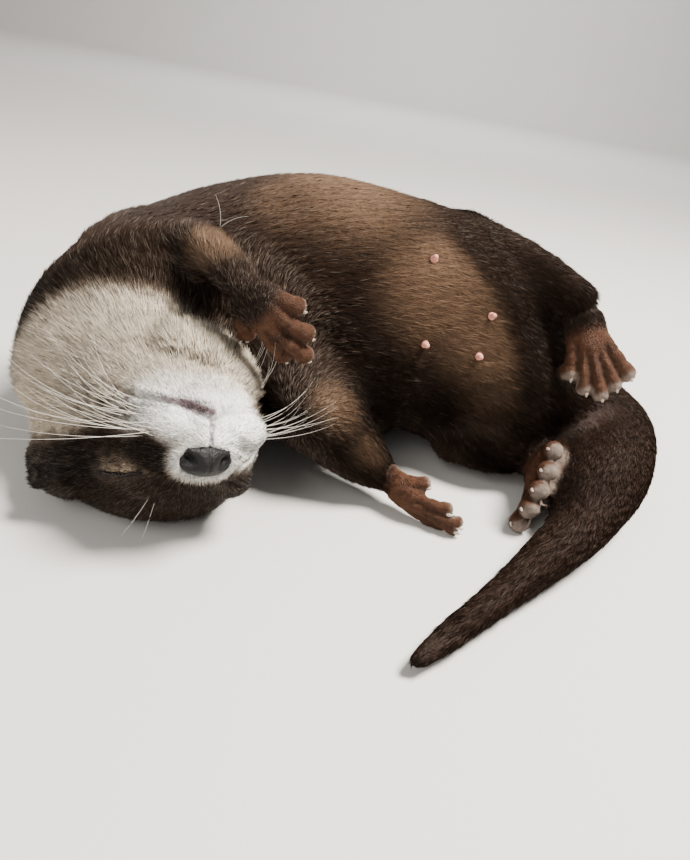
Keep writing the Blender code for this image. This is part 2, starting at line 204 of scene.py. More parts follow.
# ---------------------------------------------------------------------------
# Head.  It lies upside down on its right cheek, chin up, and is modelled in a
# frame of its own: x forward from the nose, y to its left, z to its crown.
NOSE_PLACE = Vector((-50.5, 178.1, 43.6))
HEAD_FORWARD = Vector((0.585, -0.690, 0.426)).normalized()
HEAD_LEFT = Vector((0.098, -0.465, -0.880)).cross(HEAD_FORWARD).normalized()
HEAD_CROWN = HEAD_FORWARD.cross(HEAD_LEFT)
HEAD_TURN = Matrix((HEAD_FORWARD, HEAD_LEFT, HEAD_CROWN)).transposed()
HEAD_FRAME = Matrix.Translation(NOSE_PLACE) @ HEAD_TURN.to_4x4()
# Rings hold x, half width, height of the widest line, crown and throat.
HEAD_RINGS = (
    (-2, 11, -5, 4, -12),
    (-6, 18, -6, 9.5, -17),
    (-12, 23, -7, 15, -21),
    (-20, 27, -7, 21, -27),
    (-30, 32, -7, 27.5, -33),
    (-42, 37.5, -7, 29.5, -41),
    (-55, 42, -8, 28.5, -49),
    (-68, 44.5, -9, 26, -55),
    (-80, 44.5, -12, 18, -58),
)
# How square the rings are, how much the floor presses the right cheek in, and how far back it is full.
HEAD_SQUARE = 0.72
CHEEK_PRESS = 0.62
PRESS_BACK = 45
# Lip pads, chin, brows and left cheek: x, y, z and three half sizes.
HEAD_LUMPS = (
    (-10.5, 12.5, -8.5, 11, 11, 8),
    (-10.5, -12.5, -8.5, 11, 11, 8),
    (-16, 0, -16.5, 12, 12, 6.8),
    (-20, 15, 8, 12, 9, 9),
    (-20, -15, 8, 12, 9, 9),
    (-60, 29, 10, 26, 17, 15),
)
# Each ear's place and turn in degrees, and the half sizes of its flap.
EARS = {"left": ((-46, 43, 14), 35), "right": ((-58, -37.5, -3), -35)}
EAR_HALF = (3.0, 5.6, 6.8)


def head_rings(bm, sides=28, steps=4):
    """The closed shell of skull and muzzle, its floor side pressed in."""
    rings = []
    for x, half, waist, crown, throat in curve_rows(HEAD_RINGS, steps):
        ring = []
        for n in range(sides):
            a = 2 * math.pi * n / sides
            high = (crown if math.sin(a) > 0 else throat) - waist
            lift = abs(math.sin(a)) ** (HEAD_SQUARE if high > 0 else 1) * high
            if high > 0 and math.cos(a) < 0:
                lift *= 1 - CHEEK_PRESS * min(1, -x / PRESS_BACK) * math.cos(a) ** 2
            out = math.copysign(abs(math.cos(a)) ** HEAD_SQUARE, math.cos(a))
            ring.append(HEAD_FRAME @ Vector((x, half * out, waist + lift)))
        rings.append(ring)
    nose_end = HEAD_FRAME @ Vector((1.5, 0, -5))
    rings.insert(0, [point.lerp(nose_end, 0.75) for point in rings[0]])
    nape = HEAD_FRAME @ Vector((-94, 0, -14))
    rings.append([point.lerp(nape, 0.45) for point in rings[-1]])
    rings.append([point.lerp(nape, 0.55) for point in rings[-1]])
    close_rings(bm, rings)


head = bmesh.new()
head_rings(head)
for lump in HEAD_LUMPS:
    egg(head, HEAD_FRAME @ Vector(lump[:3]), lump[3:], HEAD_FRAME)
# Loose skin of the throat, which carries the line of the jaw over into the neck: x, y, z, radius.
THROAT = (
    (-54, 40, -21.5, 9.5), (-47, 33, -30.5, 9.5), (-44, 25.5, -37.5, 9.5), (-40.5, 15, -40.5, 9.8),
    (-37.6, 0.6, -41.3, 10), (-34.5, -11.3, -40, 10.2), (-32.5, -18.3, -36, 10.2), (-31.5, -24.8, -30.5, 10),
    (-31, -29, -22.5, 9),
)
THROAT_MIDDLE = Vector((-58, 2, -14))
THROAT_SUNK = 0.2
throat_rows = []
for *place, radius in THROAT:
    middle = HEAD_FRAME @ Vector(place).lerp(THROAT_MIDDLE, THROAT_SUNK)
    throat_rows.append((*middle, radius, radius))
length_of_flesh(head, throat_rows)
# The same skin fills the crease between the right of the throat and the jaw.
JAW_FILL = HEAD_TURN @ Vector((4.2, 2.2, 0))
JAW_EXTRA = 1.2
jaw_rows = []
for *place, wide, deep in throat_rows[4:]:
    jaw_rows.append((*(Vector(place) + JAW_FILL), wide + JAW_EXTRA, deep + JAW_EXTRA))
length_of_flesh(head, jaw_rows)
for place, turn in EARS.values():
    ear_frame = HEAD_FRAME @ Matrix.Rotation(math.radians(turn), 4, "Z")
    egg(head, HEAD_FRAME @ Vector(place), EAR_HALF, ear_frame)

# ---------------------------------------------------------------------------
# Paws.  Each is a fleshy palm with five blunt, almost bare digits, which curl
# as they do in sleep, and grows out of its limb at the wrist or ankle.

# A palm's half sizes, as shares of its length, width and thickness.
PALM_HALF = (0.68, 0.5, 0.5)

# wrist, ahead and back place a paw, and hand is 1 or -1 as its first digit lies to one side or the other.
# palm and radius size palm and digits, pad swells the digits' ends, bare_from tells where on the palm the
# hair ends, and tip how far under the digit's end its pad lies.  A digit holds the share of the palm's
# length where it starts, its length, and its splay and its curl in degrees, first digit first.
PAWS = {
    "forepaw_left": {
        "wrist": (-55, 223, 86), "ahead": (0.74, -0.16, -0.65), "back": (-0.25, -0.95, 0.1),
        "hand": 1, "palm": (15, 20, 10), "radius": 3.4, "pad": 1.18, "bare_from": 0.75, "tip": 0.25,
        "digits": ((0.25, 12, 38, 40), (0.75, 18, 16, 40), (0.92, 20, 4, 42),
                   (0.8, 16, -8, 45), (0.35, 13, -16, 40)),
    },
    "forepaw_right": {
        "wrist": (9, 236, 12.5), "ahead": (0.85, -0.5, -0.2), "back": (-0.5, -0.8, -0.1),
        "hand": -1, "palm": (18, 15, 10), "radius": 3.3, "pad": 1.18, "bare_from": 0.1, "tip": 0.25,
        "digits": ((0.15, 13, 10, 35), (0.75, 15, 2, 30), (0.92, 18, -2, 30),
                   (0.92, 18, -5, 30), (0.8, 16, -8, 30)),
    },
    "hind_foot_left": {
        "wrist": (75, 295, 86), "ahead": (0.36, -0.64, -0.68), "back": (-0.1, -0.9, 0.4),
        "hand": 1, "palm": (25, 18, 12), "radius": 3.9, "pad": 1.2, "bare_from": 0.55, "tip": -0.3,
        "digits": ((0.7, 15, 18, 25), (0.86, 18, 9, 25), (0.92, 20, 0, 25),
                   (0.86, 19, -11, 25), (0.78, 19, -23, 25)),
    },
    "hind_foot_right": {
        "wrist": (78, 280, 16), "ahead": (-0.12, -0.98, 0.1), "back": (-0.956, 0.136, 0.19),
        "hand": -1, "palm": (26, 24, 13), "radius": 4.1, "pad": 1.2, "bare_from": 0.6, "tip": 0.5,
        "digits": ((0.55, 13, 20, -10), (0.8, 17, 10, -10), (0.92, 19, 0, -10),
                   (0.95, 21, -12, -10), (0.9, 22, -24, -10)),
    },
}


def paw_lines(spec):
    """A paw's three lines: ahead to its digits, across to its first digit, out of its back."""
    ahead = Vector(spec["ahead"]).normalized()
    back = Vector(spec["back"])
    back = (back - ahead * back.dot(ahead)).normalized()
    return ahead, ahead.cross(back) * spec["hand"], back


def digit_rows(spec, k):
    """Rows of one digit, its way out at the tip, and its back there."""
    ahead, first, back = paw_lines(spec)
    share, length, splay, curl = spec["digits"][k]
    long, wide, thick = spec["palm"]
    turn = math.radians(splay)
    run = ahead * math.cos(turn) + first * math.sin(turn)
    across = (0.5 - k / 4) * (wide - 2 * spec["radius"])
    point = Vector(spec["wrist"]) + ahead * long * share + first * across
    rows = [(*point, spec["radius"] * 1.02, spec["radius"])]
    # The three bones of a digit: share of its curl, of its length and of its thickness.
    for bent, far, girth in ((0.25, 0.42, 0.95), (0.7, 0.32, 1.0), (1.0, 0.26, spec["pad"])):
        bend = math.radians(curl) * bent
        step = run * math.cos(bend) - back * math.sin(bend)
        point = point + step * length * far
        radius = spec["radius"] * girth
        rows.append((*point, radius, radius * 0.95))
    return rows, step, (back * math.cos(bend) + run * math.sin(bend)).normalized()


for spec in PAWS.values():
    ahead, first, back = paw_lines(spec)
    paw_frame = Matrix((ahead, first, back)).transposed().to_4x4()
    middle = Vector(spec["wrist"]) + ahead * spec["palm"][0] * 0.5
    egg(head, middle, [size * share for size, share in zip(spec["palm"], PALM_HALF)], paw_frame)
    for k in range(5):
        length_of_flesh(head, digit_rows(spec, k)[0], steps=2, sides=12, above=back)
head.from_mesh(skin.data)
head.to_mesh(skin.data)
head.free()

# ---------------------------------------------------------------------------
# Skin.  One hide covers trunk, head, limbs and tail with no seam.  It lies
# under the coat by the coat's depth, and carries the folds of the mouth, the
# closed lids, the ears and the soles.
grow_together(skin, voxel=1.15, rounds=3)


def read_rows(items, name, width, kind=np.float32):
    """Numbers of a mesh's items, a row for each."""
    values = np.empty(len(items) * width, kind)
    items.foreach_get(name, values)
    return values.reshape(-1, width)


def read_points(mesh):
    """The mesh's points and their normals."""
    points = read_rows(mesh.vertices, "co", 3).astype(float)
    return points, read_rows(mesh.vertex_normals, "vector", 3).astype(float)


def in_head(points):
    """Points in the head's own frame."""
    return (points - np.array(NOSE_PLACE)) @ np.array(HEAD_TURN)


def ramp(value, low, high):
    """0 below low, 1 above high, eased between."""
    t = np.clip((value - low) / (high - low), 0, 1)
    return t * t * (3 - 2 * t)


def within(value, near, far):
    """1 below near, 0 beyond far, eased between."""
    return 1 - ramp(value, near, far)


def distance_to(points, spot, scale=1):
    """How far points lie from a spot, each direction weighed by its scale."""
    return np.linalg.norm((points - np.array(spot)) * scale, axis=1)


def skull_share(face, nape, near, far):
    """1 on the head, 0 on the neck: points in the head's frame."""
    return ramp(face[:, 0], nape, -70) * within(distance_to(face, (-45, 0, -15)), near, far)


def near_path(points, path):
    """Each point's distance to a run of straight lengths, and how far along it is, 0 to 1."""
    path = np.array(path, float)
    best = np.full(len(points), 1e9)
    where = np.zeros(len(points))
    for k, (start, end) in enumerate(zip(path, path[1:])):
        run = end - start
        t = np.clip((points - start) @ run / (run @ run), 0, 1)
        away = np.linalg.norm(points - start - t[:, None] * run, axis=1)
        closer = away < best
        best[closer] = away[closer]
        where[closer] = (k + t[closer]) / (len(path) - 1)
    return best, where


def in_paw(points, spec):
    """Points in a paw's own lines: ahead, across to its first digit, out of its back."""
    ahead, first, back = paw_lines(spec)
    return (points - np.array(spec["wrist"])) @ np.array((ahead, first, back)).T


def digit_distances(points, spec):
    """Each point's distance to the middle line of each of a paw's digits, and how far along it is."""
    found = [near_path(points, [row[:3] for row in digit_rows(spec, k)[0]]) for k in range(5)]
    return np.array([away for away, along in found]), np.array([along for away, along in found])


def nearest_digit(points, spec):
    """How far points lie outside a paw's digits, and how far along the nearest one."""
    away, along = digit_distances(points, spec)
    onto = np.take_along_axis(along, away.argmin(axis=0)[None], axis=0)[0]
    return away.min(axis=0) - spec["radius"], onto


def palm_distance(local, spec):
    """How far points of a paw's own lines lie from the palm's middle, 1 at its surface."""
    long, wide, thick = spec["palm"]
    half = [size * share for size, share in zip(spec["palm"], PALM_HALF)]
    return np.linalg.norm((local - (long * 0.5, 0, 0)) / half, axis=1)


def paw_share(points, reach=2.2):
    """1 on the paws, 0 up the limbs."""
    share = np.zeros(len(points))
    for spec in PAWS.values():
        local = in_paw(points, spec)
        palm = within(palm_distance(local, spec), 1 + 0.1 * reach, 1 + 0.25 * reach)
        palm *= ramp(local[:, 0], 0, spec["palm"][0] * 0.5)
        digits = within(nearest_digit(points, spec)[0], 0.5 * reach, reach)
        share = np.maximum(share, np.maximum(palm, digits))
    return share


def bare_share(points):
    """1 on the bare digits and soles, 0 where hair grows: the backs of the paws are furred."""
    share = np.zeros(len(points))
    for spec in PAWS.values():
        local = in_paw(points, spec)
        long, wide, thick = spec["palm"]
        bare_from = spec["bare_from"]
        off_digits, along = nearest_digit(points, spec)
        digits = within(off_digits, 0.8, 2.2) * ramp(along, 0.5 * bare_from - 0.25, 0.5 * bare_from + 0.1)
        palm = within(palm_distance(local, spec), 1.15, 1.45)
        sole = palm * ramp(-local[:, 2], 0.12 * thick, 0.35 * thick) * ramp(local[:, 0], 0, long * 0.4)
        back = palm * ramp(local[:, 0], (bare_from - 0.1) * long, (bare_from + 0.25) * long)
        share = np.maximum(share, np.maximum(digits, np.maximum(sole, back)))
    return share


def pad_share(points):
    """1 on the pads under the digits' ends and soles, 0 elsewhere."""
    share = np.zeros(len(points))
    for spec in PAWS.values():
        radius = spec["radius"]
        local = in_paw(points, spec)
        for k in range(5):
            rows, step, nail_side = digit_rows(spec, k)
            tip = Vector(rows[-1][:3]) - nail_side * radius * spec["tip"] + step * radius * 0.6
            share = np.maximum(share, within(distance_to(points, tip), radius * 0.85, radius * 1.3))
            line = in_paw(np.array([row[:3] for row in rows]), spec)
            away, along = near_path(local, line)
            under = np.interp(along, np.linspace(0, 1, len(line)), line[:, 2]) - local[:, 2]
            under = ramp(under, 0.1 * radius, 0.8 * radius) * within(away, 1.2 * radius, 1.6 * radius)
            share = np.maximum(share, 0.7 * under)
        long, wide, thick = spec["palm"]
        middle = (local - (long * 0.6, 0, -thick * 0.45)) / (long * 0.5, wide * 0.48, thick * 0.35)
        share = np.maximum(share, 0.9 * within(np.linalg.norm(middle, axis=1), 0.8, 1.15))
    return share


def between_digits(points):
    """How deep a groove runs between neighbouring digits, 0 to 1."""
    depth = np.zeros(len(points))
    for spec in PAWS.values():
        off_digits, onto = nearest_digit(points, spec)
        order = np.sort(digit_distances(points, spec)[0], axis=0)
        even = np.exp(-((order[1] - order[0]) / 1.4) ** 2)
        depth = np.maximum(depth, even * within(off_digits, 0.2, 1.6) * ramp(onto, 0.02, 0.3))
    return depth


# Folds of the face in the head's frame.
LID_LINE = ((-26.9, 27.8, 10), (-24.4, 26.2, 10), (-21.3, 24.3, 10), (-15.9, 22.9, 9.2), (-12.3, 21.1, 8.4),
            (-10, 18.9, 7.7))
MOUTH_SIDE = ((-2.2, 0, -12.6), (-3.4, 2.8, -13.2), (-4.8, 6, -14.1), (-5.4, 9, -14.9), (-5.6, 12.1, -15.4),
              (-8.6, 15.3, -16.2), (-12, 18.2, -16.8), (-15.9, 21.4, -17.3), (-21.3, 24.2, -17.8),
              (-28, 27.5, -16))
PHILTRUM = ((0.4, 0, -2.6), (0.1, 0, -6), (-0.6, 0, -9), (-2.2, 0, -12.6))
CHEEK_CREASE = ((-7.5, -18, 0), (-5.5, -14.5, 2.5), (-5.5, -12.2, 5.1), (-6.2, -9.5, 7.7))
BROW_CREASE = ((-6.5, -7.9, 8.4), (-8.1, -10.9, 9.3), (-9.4, -15.8, 10.8), (-13, -21, 9.5))


def other_side(path):
    """The same path on the head's right."""
    return tuple((x, -y, z) for x, y, z in path)


# A fold's path, its depth, its half width and the height of the lips beside it.
FACE_FOLDS = (
    (MOUTH_SIDE, 2.4, 1.1, 0.9), (other_side(MOUTH_SIDE), 1.2, 0.8, 0.4), (PHILTRUM, 1.5, 0.5, 0.2),
    (LID_LINE, 1.9, 0.8, 0.8), (other_side(LID_LINE), 1.5, 0.8, 0.7),
    (CHEEK_CREASE, 1.6, 0.8, 0.6), (BROW_CREASE, 1.6, 0.8, 0.6),
)
NOSE_MIDDLE = (-2, 0, 2.6)
# How far the bare edge of the lip lies over the mouth's line.
LIP_OVER = 1.2
# The coat's depth over the skin, and how deep nose, ears, webs and knuckles are drawn in under it.
COAT_DEPTH = {"trunk": 1.7, "head": 1.3, "muzzle": 0.45, "paw": 0.6, "bare": 0.12}
NOSE_SOCKET = 4.5
EAR_HOLLOW = 3.0
WEB_DEPTH = 1.6
KNUCKLE_CREASE = 0.45
FLOOR_GAP = 0.5


def nose_distance(face, half=(6, 9.6, 6.2)):
    """How far points of the head's frame lie from the nose's middle, 1 at its rim."""
    return np.linalg.norm((face - NOSE_MIDDLE) / half, axis=1)


points, normals = read_points(skin.data)
face = in_head(points)
skull = skull_share(face, -105, 70, 90)
paws = paw_share(points)
depth = np.full(len(points), COAT_DEPTH["trunk"])
for place, share in (
    ("head", skull),
    ("muzzle", ramp(face[:, 0], -34, -14) * skull),
    ("paw", paws),
    ("bare", bare_share(points)),
):
    depth += (COAT_DEPTH[place] - depth) * share
webs = between_digits(points)
push = -depth - WEB_DEPTH * webs
for path, fold_depth, half, lip in FACE_FOLDS:
    away, along = near_path(face, path)
    fade = np.sqrt(np.clip(1 - along, 0, 1)) * 0.5 + 0.5
    push -= fade * fold_depth * np.exp(-(away / half) ** 2)
    push += fade * lip * np.exp(-((away - 2.4 * half) / (1.1 * half)) ** 2)
push -= NOSE_SOCKET * within(nose_distance(face), 0.55, 0.97)
for side, out in (("left", 1), ("right", -1)):
    hollow = np.array(EARS[side][0]) + (1.5, 2.5 * out, -1)
    push -= EAR_HOLLOW * np.exp(-(distance_to(face, hollow, (1, 1, 1 / 1.35)) / 3.4) ** 2)
for spec in PAWS.values():
    off_digits, onto = nearest_digit(points, spec)
    for joint in (1 / 3, 2 / 3):
        push -= KNUCKLE_CREASE * within(off_digits, 0.8, 2.0) * np.exp(-((onto - joint) / 0.05) ** 2)
points = points + normals * push[:, None]
# The thin webs between the digits are evened out, so that no point of them stands up.
edges = read_rows(skin.data.edges, "vertices", 2, np.int32)
neighbours = np.bincount(edges.ravel(), minlength=len(points))[:, None]
EVEN_ROUNDS = 2
for k in range(EVEN_ROUNDS):
    around = np.zeros_like(points)
    np.add.at(around, edges[:, 0], points[edges[:, 1]])
    np.add.at(around, edges[:, 1], points[edges[:, 0]])
    points += 0.5 * ramp(webs, 0.3, 0.7)[:, None] * (around / neighbours - points)
points[:, 2] = np.maximum(points[:, 2], FLOOR_GAP)
skin.data.vertices.foreach_set("co", points.astype(np.float32).ravel())
skin.data.update()

# Trunk, tail and limbs are thinned to fewer faces; paws and face keep all of theirs.
KEPT_FACES = 0.5
LEVELS = 10
group = skin.vertex_groups.new(name="plain")
plain = np.clip(1 - np.maximum(paws, skull * ramp(face[:, 0], -60, -45)), 0, 1)
for level in range(1, LEVELS + 1):
    chosen = np.nonzero(np.round(plain * LEVELS) == level)[0]
    group.add(chosen.tolist(), level / LEVELS, "REPLACE")
thin = skin.modifiers.new("thin", "DECIMATE")
thin.ratio = KEPT_FACES
thin.vertex_group = "plain"
settle(skin)
skin.vertex_groups.clear()

# Places where the coat turns warm brown, partly the belly's own thinner coat and partly painted light where
# the lamp catches the top of the chest and the upper edges of the forearms: its middle, how far it reaches,
# how strong it is.
WARM_AND_LIT_PLACES = (
    ((14, 266, 88), 38, 1.0), ((36, 266, 68), 30, 1.0), ((44, 266, 48), 22, 0.5),
    ((-32, 290, 112), 44, 0.65), ((-56, 278, 100), 24, 0.4), ((-14, 224, 46), 18, 0.9),
    ((1, 227, 31), 14, 0.8), ((-71, 238, 96), 18, 1.0),
)
# Dark hair at the lips' corners, behind the eyes and in the ears: its middle and how far it reaches.
DARK_CORNERS = {1: ((-8, 17.5, 2.5), 8.5), -1: ((-12, 19, 9), 7)}
DARK_PLACES = (((-37, 34, 9), 12), ((-44, 42, 13), 9))
# How strongly lid, lip and the painted shade of the mouth line show on the head's left, 1, and on its right,
# -1.
FACE_SHARES = {1: (1, 1, 0.9), -1: (0.3, 0.2, 0.35)}


def ring_value(ahead, column):
    """A column of the head's rings, read at places along the head."""
    rings = HEAD_RINGS[::-1]
    return np.interp(ahead, [ring[0] for ring in rings], [ring[column] for ring in rings])


def head_share(face):
    """1 on head and throat, 0 on trunk, shoulders and the paw beside the throat."""
    ahead, left, up = face.T
    half = ring_value(ahead, 1)
    over_low = up - ring_value(ahead, 4)
    share = within(np.abs(left) - ring_value(ahead - 10, 1), 3, 9) * ramp(ahead, -100, -92)
    share *= within(ahead, 8, 12)
    share *= ramp(over_low, -20, -13)
    share *= 1 - ramp(-left - half, -2, 2) * (ahead < -22)
    share *= 1 - within(left, -16, -4) * within(over_low, -14, -9)
    # Behind the right of the jaw the pale coat ends along a line.
    line = np.interp(left, (-36, -30, -22, -12), (-28, -32.5, -38.5, -42))
    beside = within(left, -12, -7) * within(up, -20, -14)
    return share * (1 - beside * within(ahead - line, -2, 1))


def pale_marks(points, face, on_head):
    """The pale throat and cheeks, and the white lips and chin."""
    ahead, left, up = face.T
    throat = within(points[:, 1] - (221 + 0.27 * (points[:, 0] + 130)), -9, 4)
    on_left = ramp(left, -6, 6)
    dip = 5.5 * on_left * np.exp(-((left - 18.5) / 4.5) ** 2 - ((ahead + 6) / 6) ** 2)
    dip += 7 * on_left * np.exp(-((ahead + 24) / 15) ** 2)
    dip -= 5 * (1 - on_left) * ramp(ahead, -18, -9)
    nose_away = nose_distance(face)
    pale = on_head * throat * within(up + dip + 0.05 * (ahead + 40), -5, 6)
    pale = np.maximum(pale, 0.7 * within(nose_away, 1.15, 1.6))
    white = on_head * ramp(ahead, -26, -10) * within(up + dip, -6, 2) * ramp(up, -36, -25)
    white = np.maximum(white, 0.85 * within(nose_away, 1.1, 1.45))
    return pale, white


def face_marks(face, pale):
    """Lips, grizzled cheeks, and tan hair along the lids less dark hair about eyes and ears and painted
    shade in the folds, along the mouth's line and round the nose.
    """
    lip, grizzle, tan, dark_hair_and_shade = np.zeros((4, len(face)))
    for out, (lid_share, lip_share, mouth_shade_share) in FACE_SHARES.items():
        mirrored = face * (1, out, 1)
        for spot, reach in (DARK_CORNERS[out], *DARK_PLACES):
            away = distance_to(mirrored, spot, (0.8, 1, 1.1))
            dark_hair_and_shade = np.maximum(dark_hair_and_shade, within(away, 0.35 * reach, reach))
        away, along = near_path(mirrored, LID_LINE)
        on_brow = ramp(face[:, 2] - np.interp(face[:, 0], (-26, -10), (10, 7.7)), -0.4, 1.2)
        lid = within(away, 1.5, 9.5) * (1 - 0.93 * on_brow) * lid_share
        tan = np.maximum(tan, ramp(away, 0.6, 1.6) * lid * ramp(along, 0.0, 0.25))
        away = distance_to(mirrored, (-24, 28, -12), (0.55, 0.8, 1.25))
        grizzle = np.maximum(grizzle, within(away, 5, 15))
        away, along = near_path(mirrored + (0, 0, LIP_OVER), MOUTH_SIDE)
        lip = np.maximum(lip, within(away, 1.5, 3.7) * within(along, 0.5, 0.8) * lip_share)
        # Painted shade darkens the mouth's line, the philtrum, the creases of cheek and brow and the rim of
        # the nose.
        away, along = near_path(mirrored, MOUTH_SIDE)
        dark_hair_and_shade = np.maximum(dark_hair_and_shade, mouth_shade_share * within(away, 0.5, 1.5) * within(along, 0.5, 0.75))
    away, along = near_path(face, PHILTRUM)
    lip = np.maximum(lip, 0.8 * within(away, 0.3, 1.3))
    dark_hair_and_shade = np.maximum(dark_hair_and_shade, 0.7 * within(away, 0.25, 0.9))
    for shaded_crease in (CHEEK_CREASE, BROW_CREASE):
        away, along = near_path(face, shaded_crease)
        dark_hair_and_shade = np.maximum(dark_hair_and_shade, 0.9 * within(away, 0.3, 1.1))
    dark_hair_and_shade = np.maximum(dark_hair_and_shade, within(nose_distance(face), 0.85, 1.02))
    return np.stack([lip, grizzle * pale, tan - dark_hair_and_shade], axis=1)


def warm_belly_and_painted_light(points, normals):
    """Where the coat thins to warm brown, with painted light on the lit chest top and forearm edges, on what
    faces up and ahead, as far as the groin.
    """
    warm_and_lit_share = np.zeros(len(points))
    for spot, reach, share in WARM_AND_LIT_PLACES:
        warm_and_lit_share = np.maximum(warm_and_lit_share, share * within(distance_to(points, spot), 0.25 * reach, reach))
    warm_and_lit_share *= ramp(0.8 * normals[:, 2] - normals[:, 1], -0.1, 0.5)
    groin = np.interp(points[:, 2], (30, 50, 70, 87, 95, 103, 112), (60, 55, 46, 35, 24, 10, 6))
    return warm_and_lit_share * within(points[:, 0] - groin, -5, 5)


def rusty_tail(points, on_head):
    """Where tail and rump have a redder coat."""
    low = ramp(points[:, 0], 60, 100) * within(points[:, 2], 40, 60)
    return np.maximum(low, within(points[:, 1], 225, 245)) * (1 - on_head) * ramp(points[:, 0], 20, 40)


def markings_with_painted_light(points, normals):
    """How far each marking of coat, hide and face reaches, painted light and shade among them, as three rows
    of three.
    """
    face = in_head(points)
    on_head = head_share(face)
    pale, white = pale_marks(points, face, on_head)
    # Bare skin and pads give way to the dark coat in the grooves between the digits: painted shade.
    shaded_crease = between_digits(points)
    bare = bare_share(points) * (1 - 0.7 * shaded_crease)
    pads = pad_share(points) * (1 - 0.6 * shaded_crease)
    return {
        "marks_coat": np.stack([pale, white, warm_belly_and_painted_light(points, normals)], axis=1),
        "marks_hide": np.stack([bare, pads, rusty_tail(points, on_head)], axis=1),
        "marks_face": face_marks(face, pale),
    }


def write_field(mesh, name, values):
    """A value of three numbers stored at every point of a mesh."""
    field = mesh.attributes.new(name, "FLOAT_VECTOR", "POINT")
    field.data.foreach_set("vector", np.ascontiguousarray(values, np.float32).ravel())


points, normals = read_points(skin.data)
marks = markings_with_painted_light(points, normals)
for name, values in marks.items():
    write_field(skin.data, name, values)

skin.data.uv_layers.new(name="OFBake")
bpy.context.view_layer.objects.active = skin
skin.select_set(True)
bpy.ops.object.mode_set(mode="EDIT")
bpy.ops.mesh.select_all(action="SELECT")
bpy.ops.uv.smart_project(angle_limit=math.radians(66), island_margin=0.001)
bpy.ops.object.mode_set(mode="OBJECT")


def new_group(name, inputs, outputs):
    """An empty shader group with its sockets."""
    tree = bpy.data.node_groups.new(name, "ShaderNodeTree")
    for kind, label, value in inputs:
        socket = tree.interface.new_socket(label, in_out="INPUT", socket_type=kind)
        socket.default_value = value
    for kind, label in outputs:
        tree.interface.new_socket(label, in_out="OUTPUT", socket_type=kind)
    return tree, tree.nodes.new("NodeGroupInput"), tree.nodes.new("NodeGroupOutput")


def add_node(tree, kind, links=(), **settings):
    """A node with its settings, and its inputs set or linked."""
    node = tree.nodes.new(kind)
    for key, value in settings.items():
        setattr(node, key, value)
    for socket, source in links:
        if isinstance(source, bpy.types.NodeSocket):
            tree.links.new(source, node.inputs[socket])
        else:
            node.inputs[socket].default_value = source
    return node


def reckon(tree, how, *values):
    """The sum, product or the like of some values."""
    return add_node(tree, "ShaderNodeMath", enumerate(values), operation=how).outputs[0]


def spread(tree, value, low, high, start=0.0, end=1.0):
    """A value's run from low to high, spread from start to end."""
    ends = (("Value", value), (1, low), (2, high), (3, start), (4, end))
    return add_node(tree, "ShaderNodeMapRange", ends).outputs[0]


def three_of(tree, name):
    """The three numbers of a field stored on the mesh."""
    field = add_node(tree, "ShaderNodeAttribute", attribute_name=name)
    return add_node(tree, "ShaderNodeSeparateXYZ", ((0, field.outputs["Vector"]),)).outputs


def noise(tree, scale, detail=2.0):
    """Soft patches through space, 0 to 1."""
    place = add_node(tree, "ShaderNodeNewGeometry").outputs["Position"]
    ends = (("Vector", place), ("Scale", scale), ("Detail", detail))
    return add_node(tree, "ShaderNodeTexNoise", ends).outputs["Fac"]


def grains(tree, scale):
    """How far each place lies from the middle of its grain."""
    place = add_node(tree, "ShaderNodeNewGeometry").outputs["Position"]
    return add_node(tree, "ShaderNodeTexVoronoi", (("Vector", place), ("Scale", scale))).outputs["Distance"]


def blend_colour(tree, share, low, high, how="MIX"):
    """Two colours mixed by a share."""
    ends = [("Factor", share)]
    for socket, source in ((6, low), (7, high)):
        ends.append((socket, source if isinstance(source, bpy.types.NodeSocket) else (*source, 1.0)))
    return add_node(tree, "ShaderNodeMix", ends, data_type="RGBA", blend_type=how).outputs[2]


def shaded(tree, share, colour, value):
    """A colour made darker or lighter by a value."""
    grey = add_node(tree, "ShaderNodeCombineColor", ((0, value), (1, value), (2, value))).outputs[0]
    return blend_colour(tree, share, colour, grey, "MULTIPLY")


# Hair and hide colours of the species.
DARK_COAT = (0.0175, 0.0096, 0.006)
# Warm brown: the belly's own coat, and painted light on the lit top of the chest and the forearms' upper
# edges.
WARM_AND_LIT_COAT = (0.15, 0.091, 0.056)
GREY_COAT = (0.12, 0.088, 0.064)
PALE_COAT = (0.7, 0.61, 0.49)
WHITE_COAT = (0.95, 0.94, 0.91)
GRIZZLED_COAT = (0.095, 0.07, 0.05)
TAN_COAT = (0.36, 0.27, 0.19)
# Near black: dark hair, and painted shade in the face's folds and round the nose.
BLACK_COAT_AND_SHADE = (0.01, 0.0065, 0.005)
RUST_COAT = (0.022, 0.0115, 0.0075)
LIP_HIDE = (0.1, 0.07, 0.075)
PAW_HIDE = (0.066, 0.026, 0.012)
PAD_HIDE = (0.21, 0.165, 0.135)


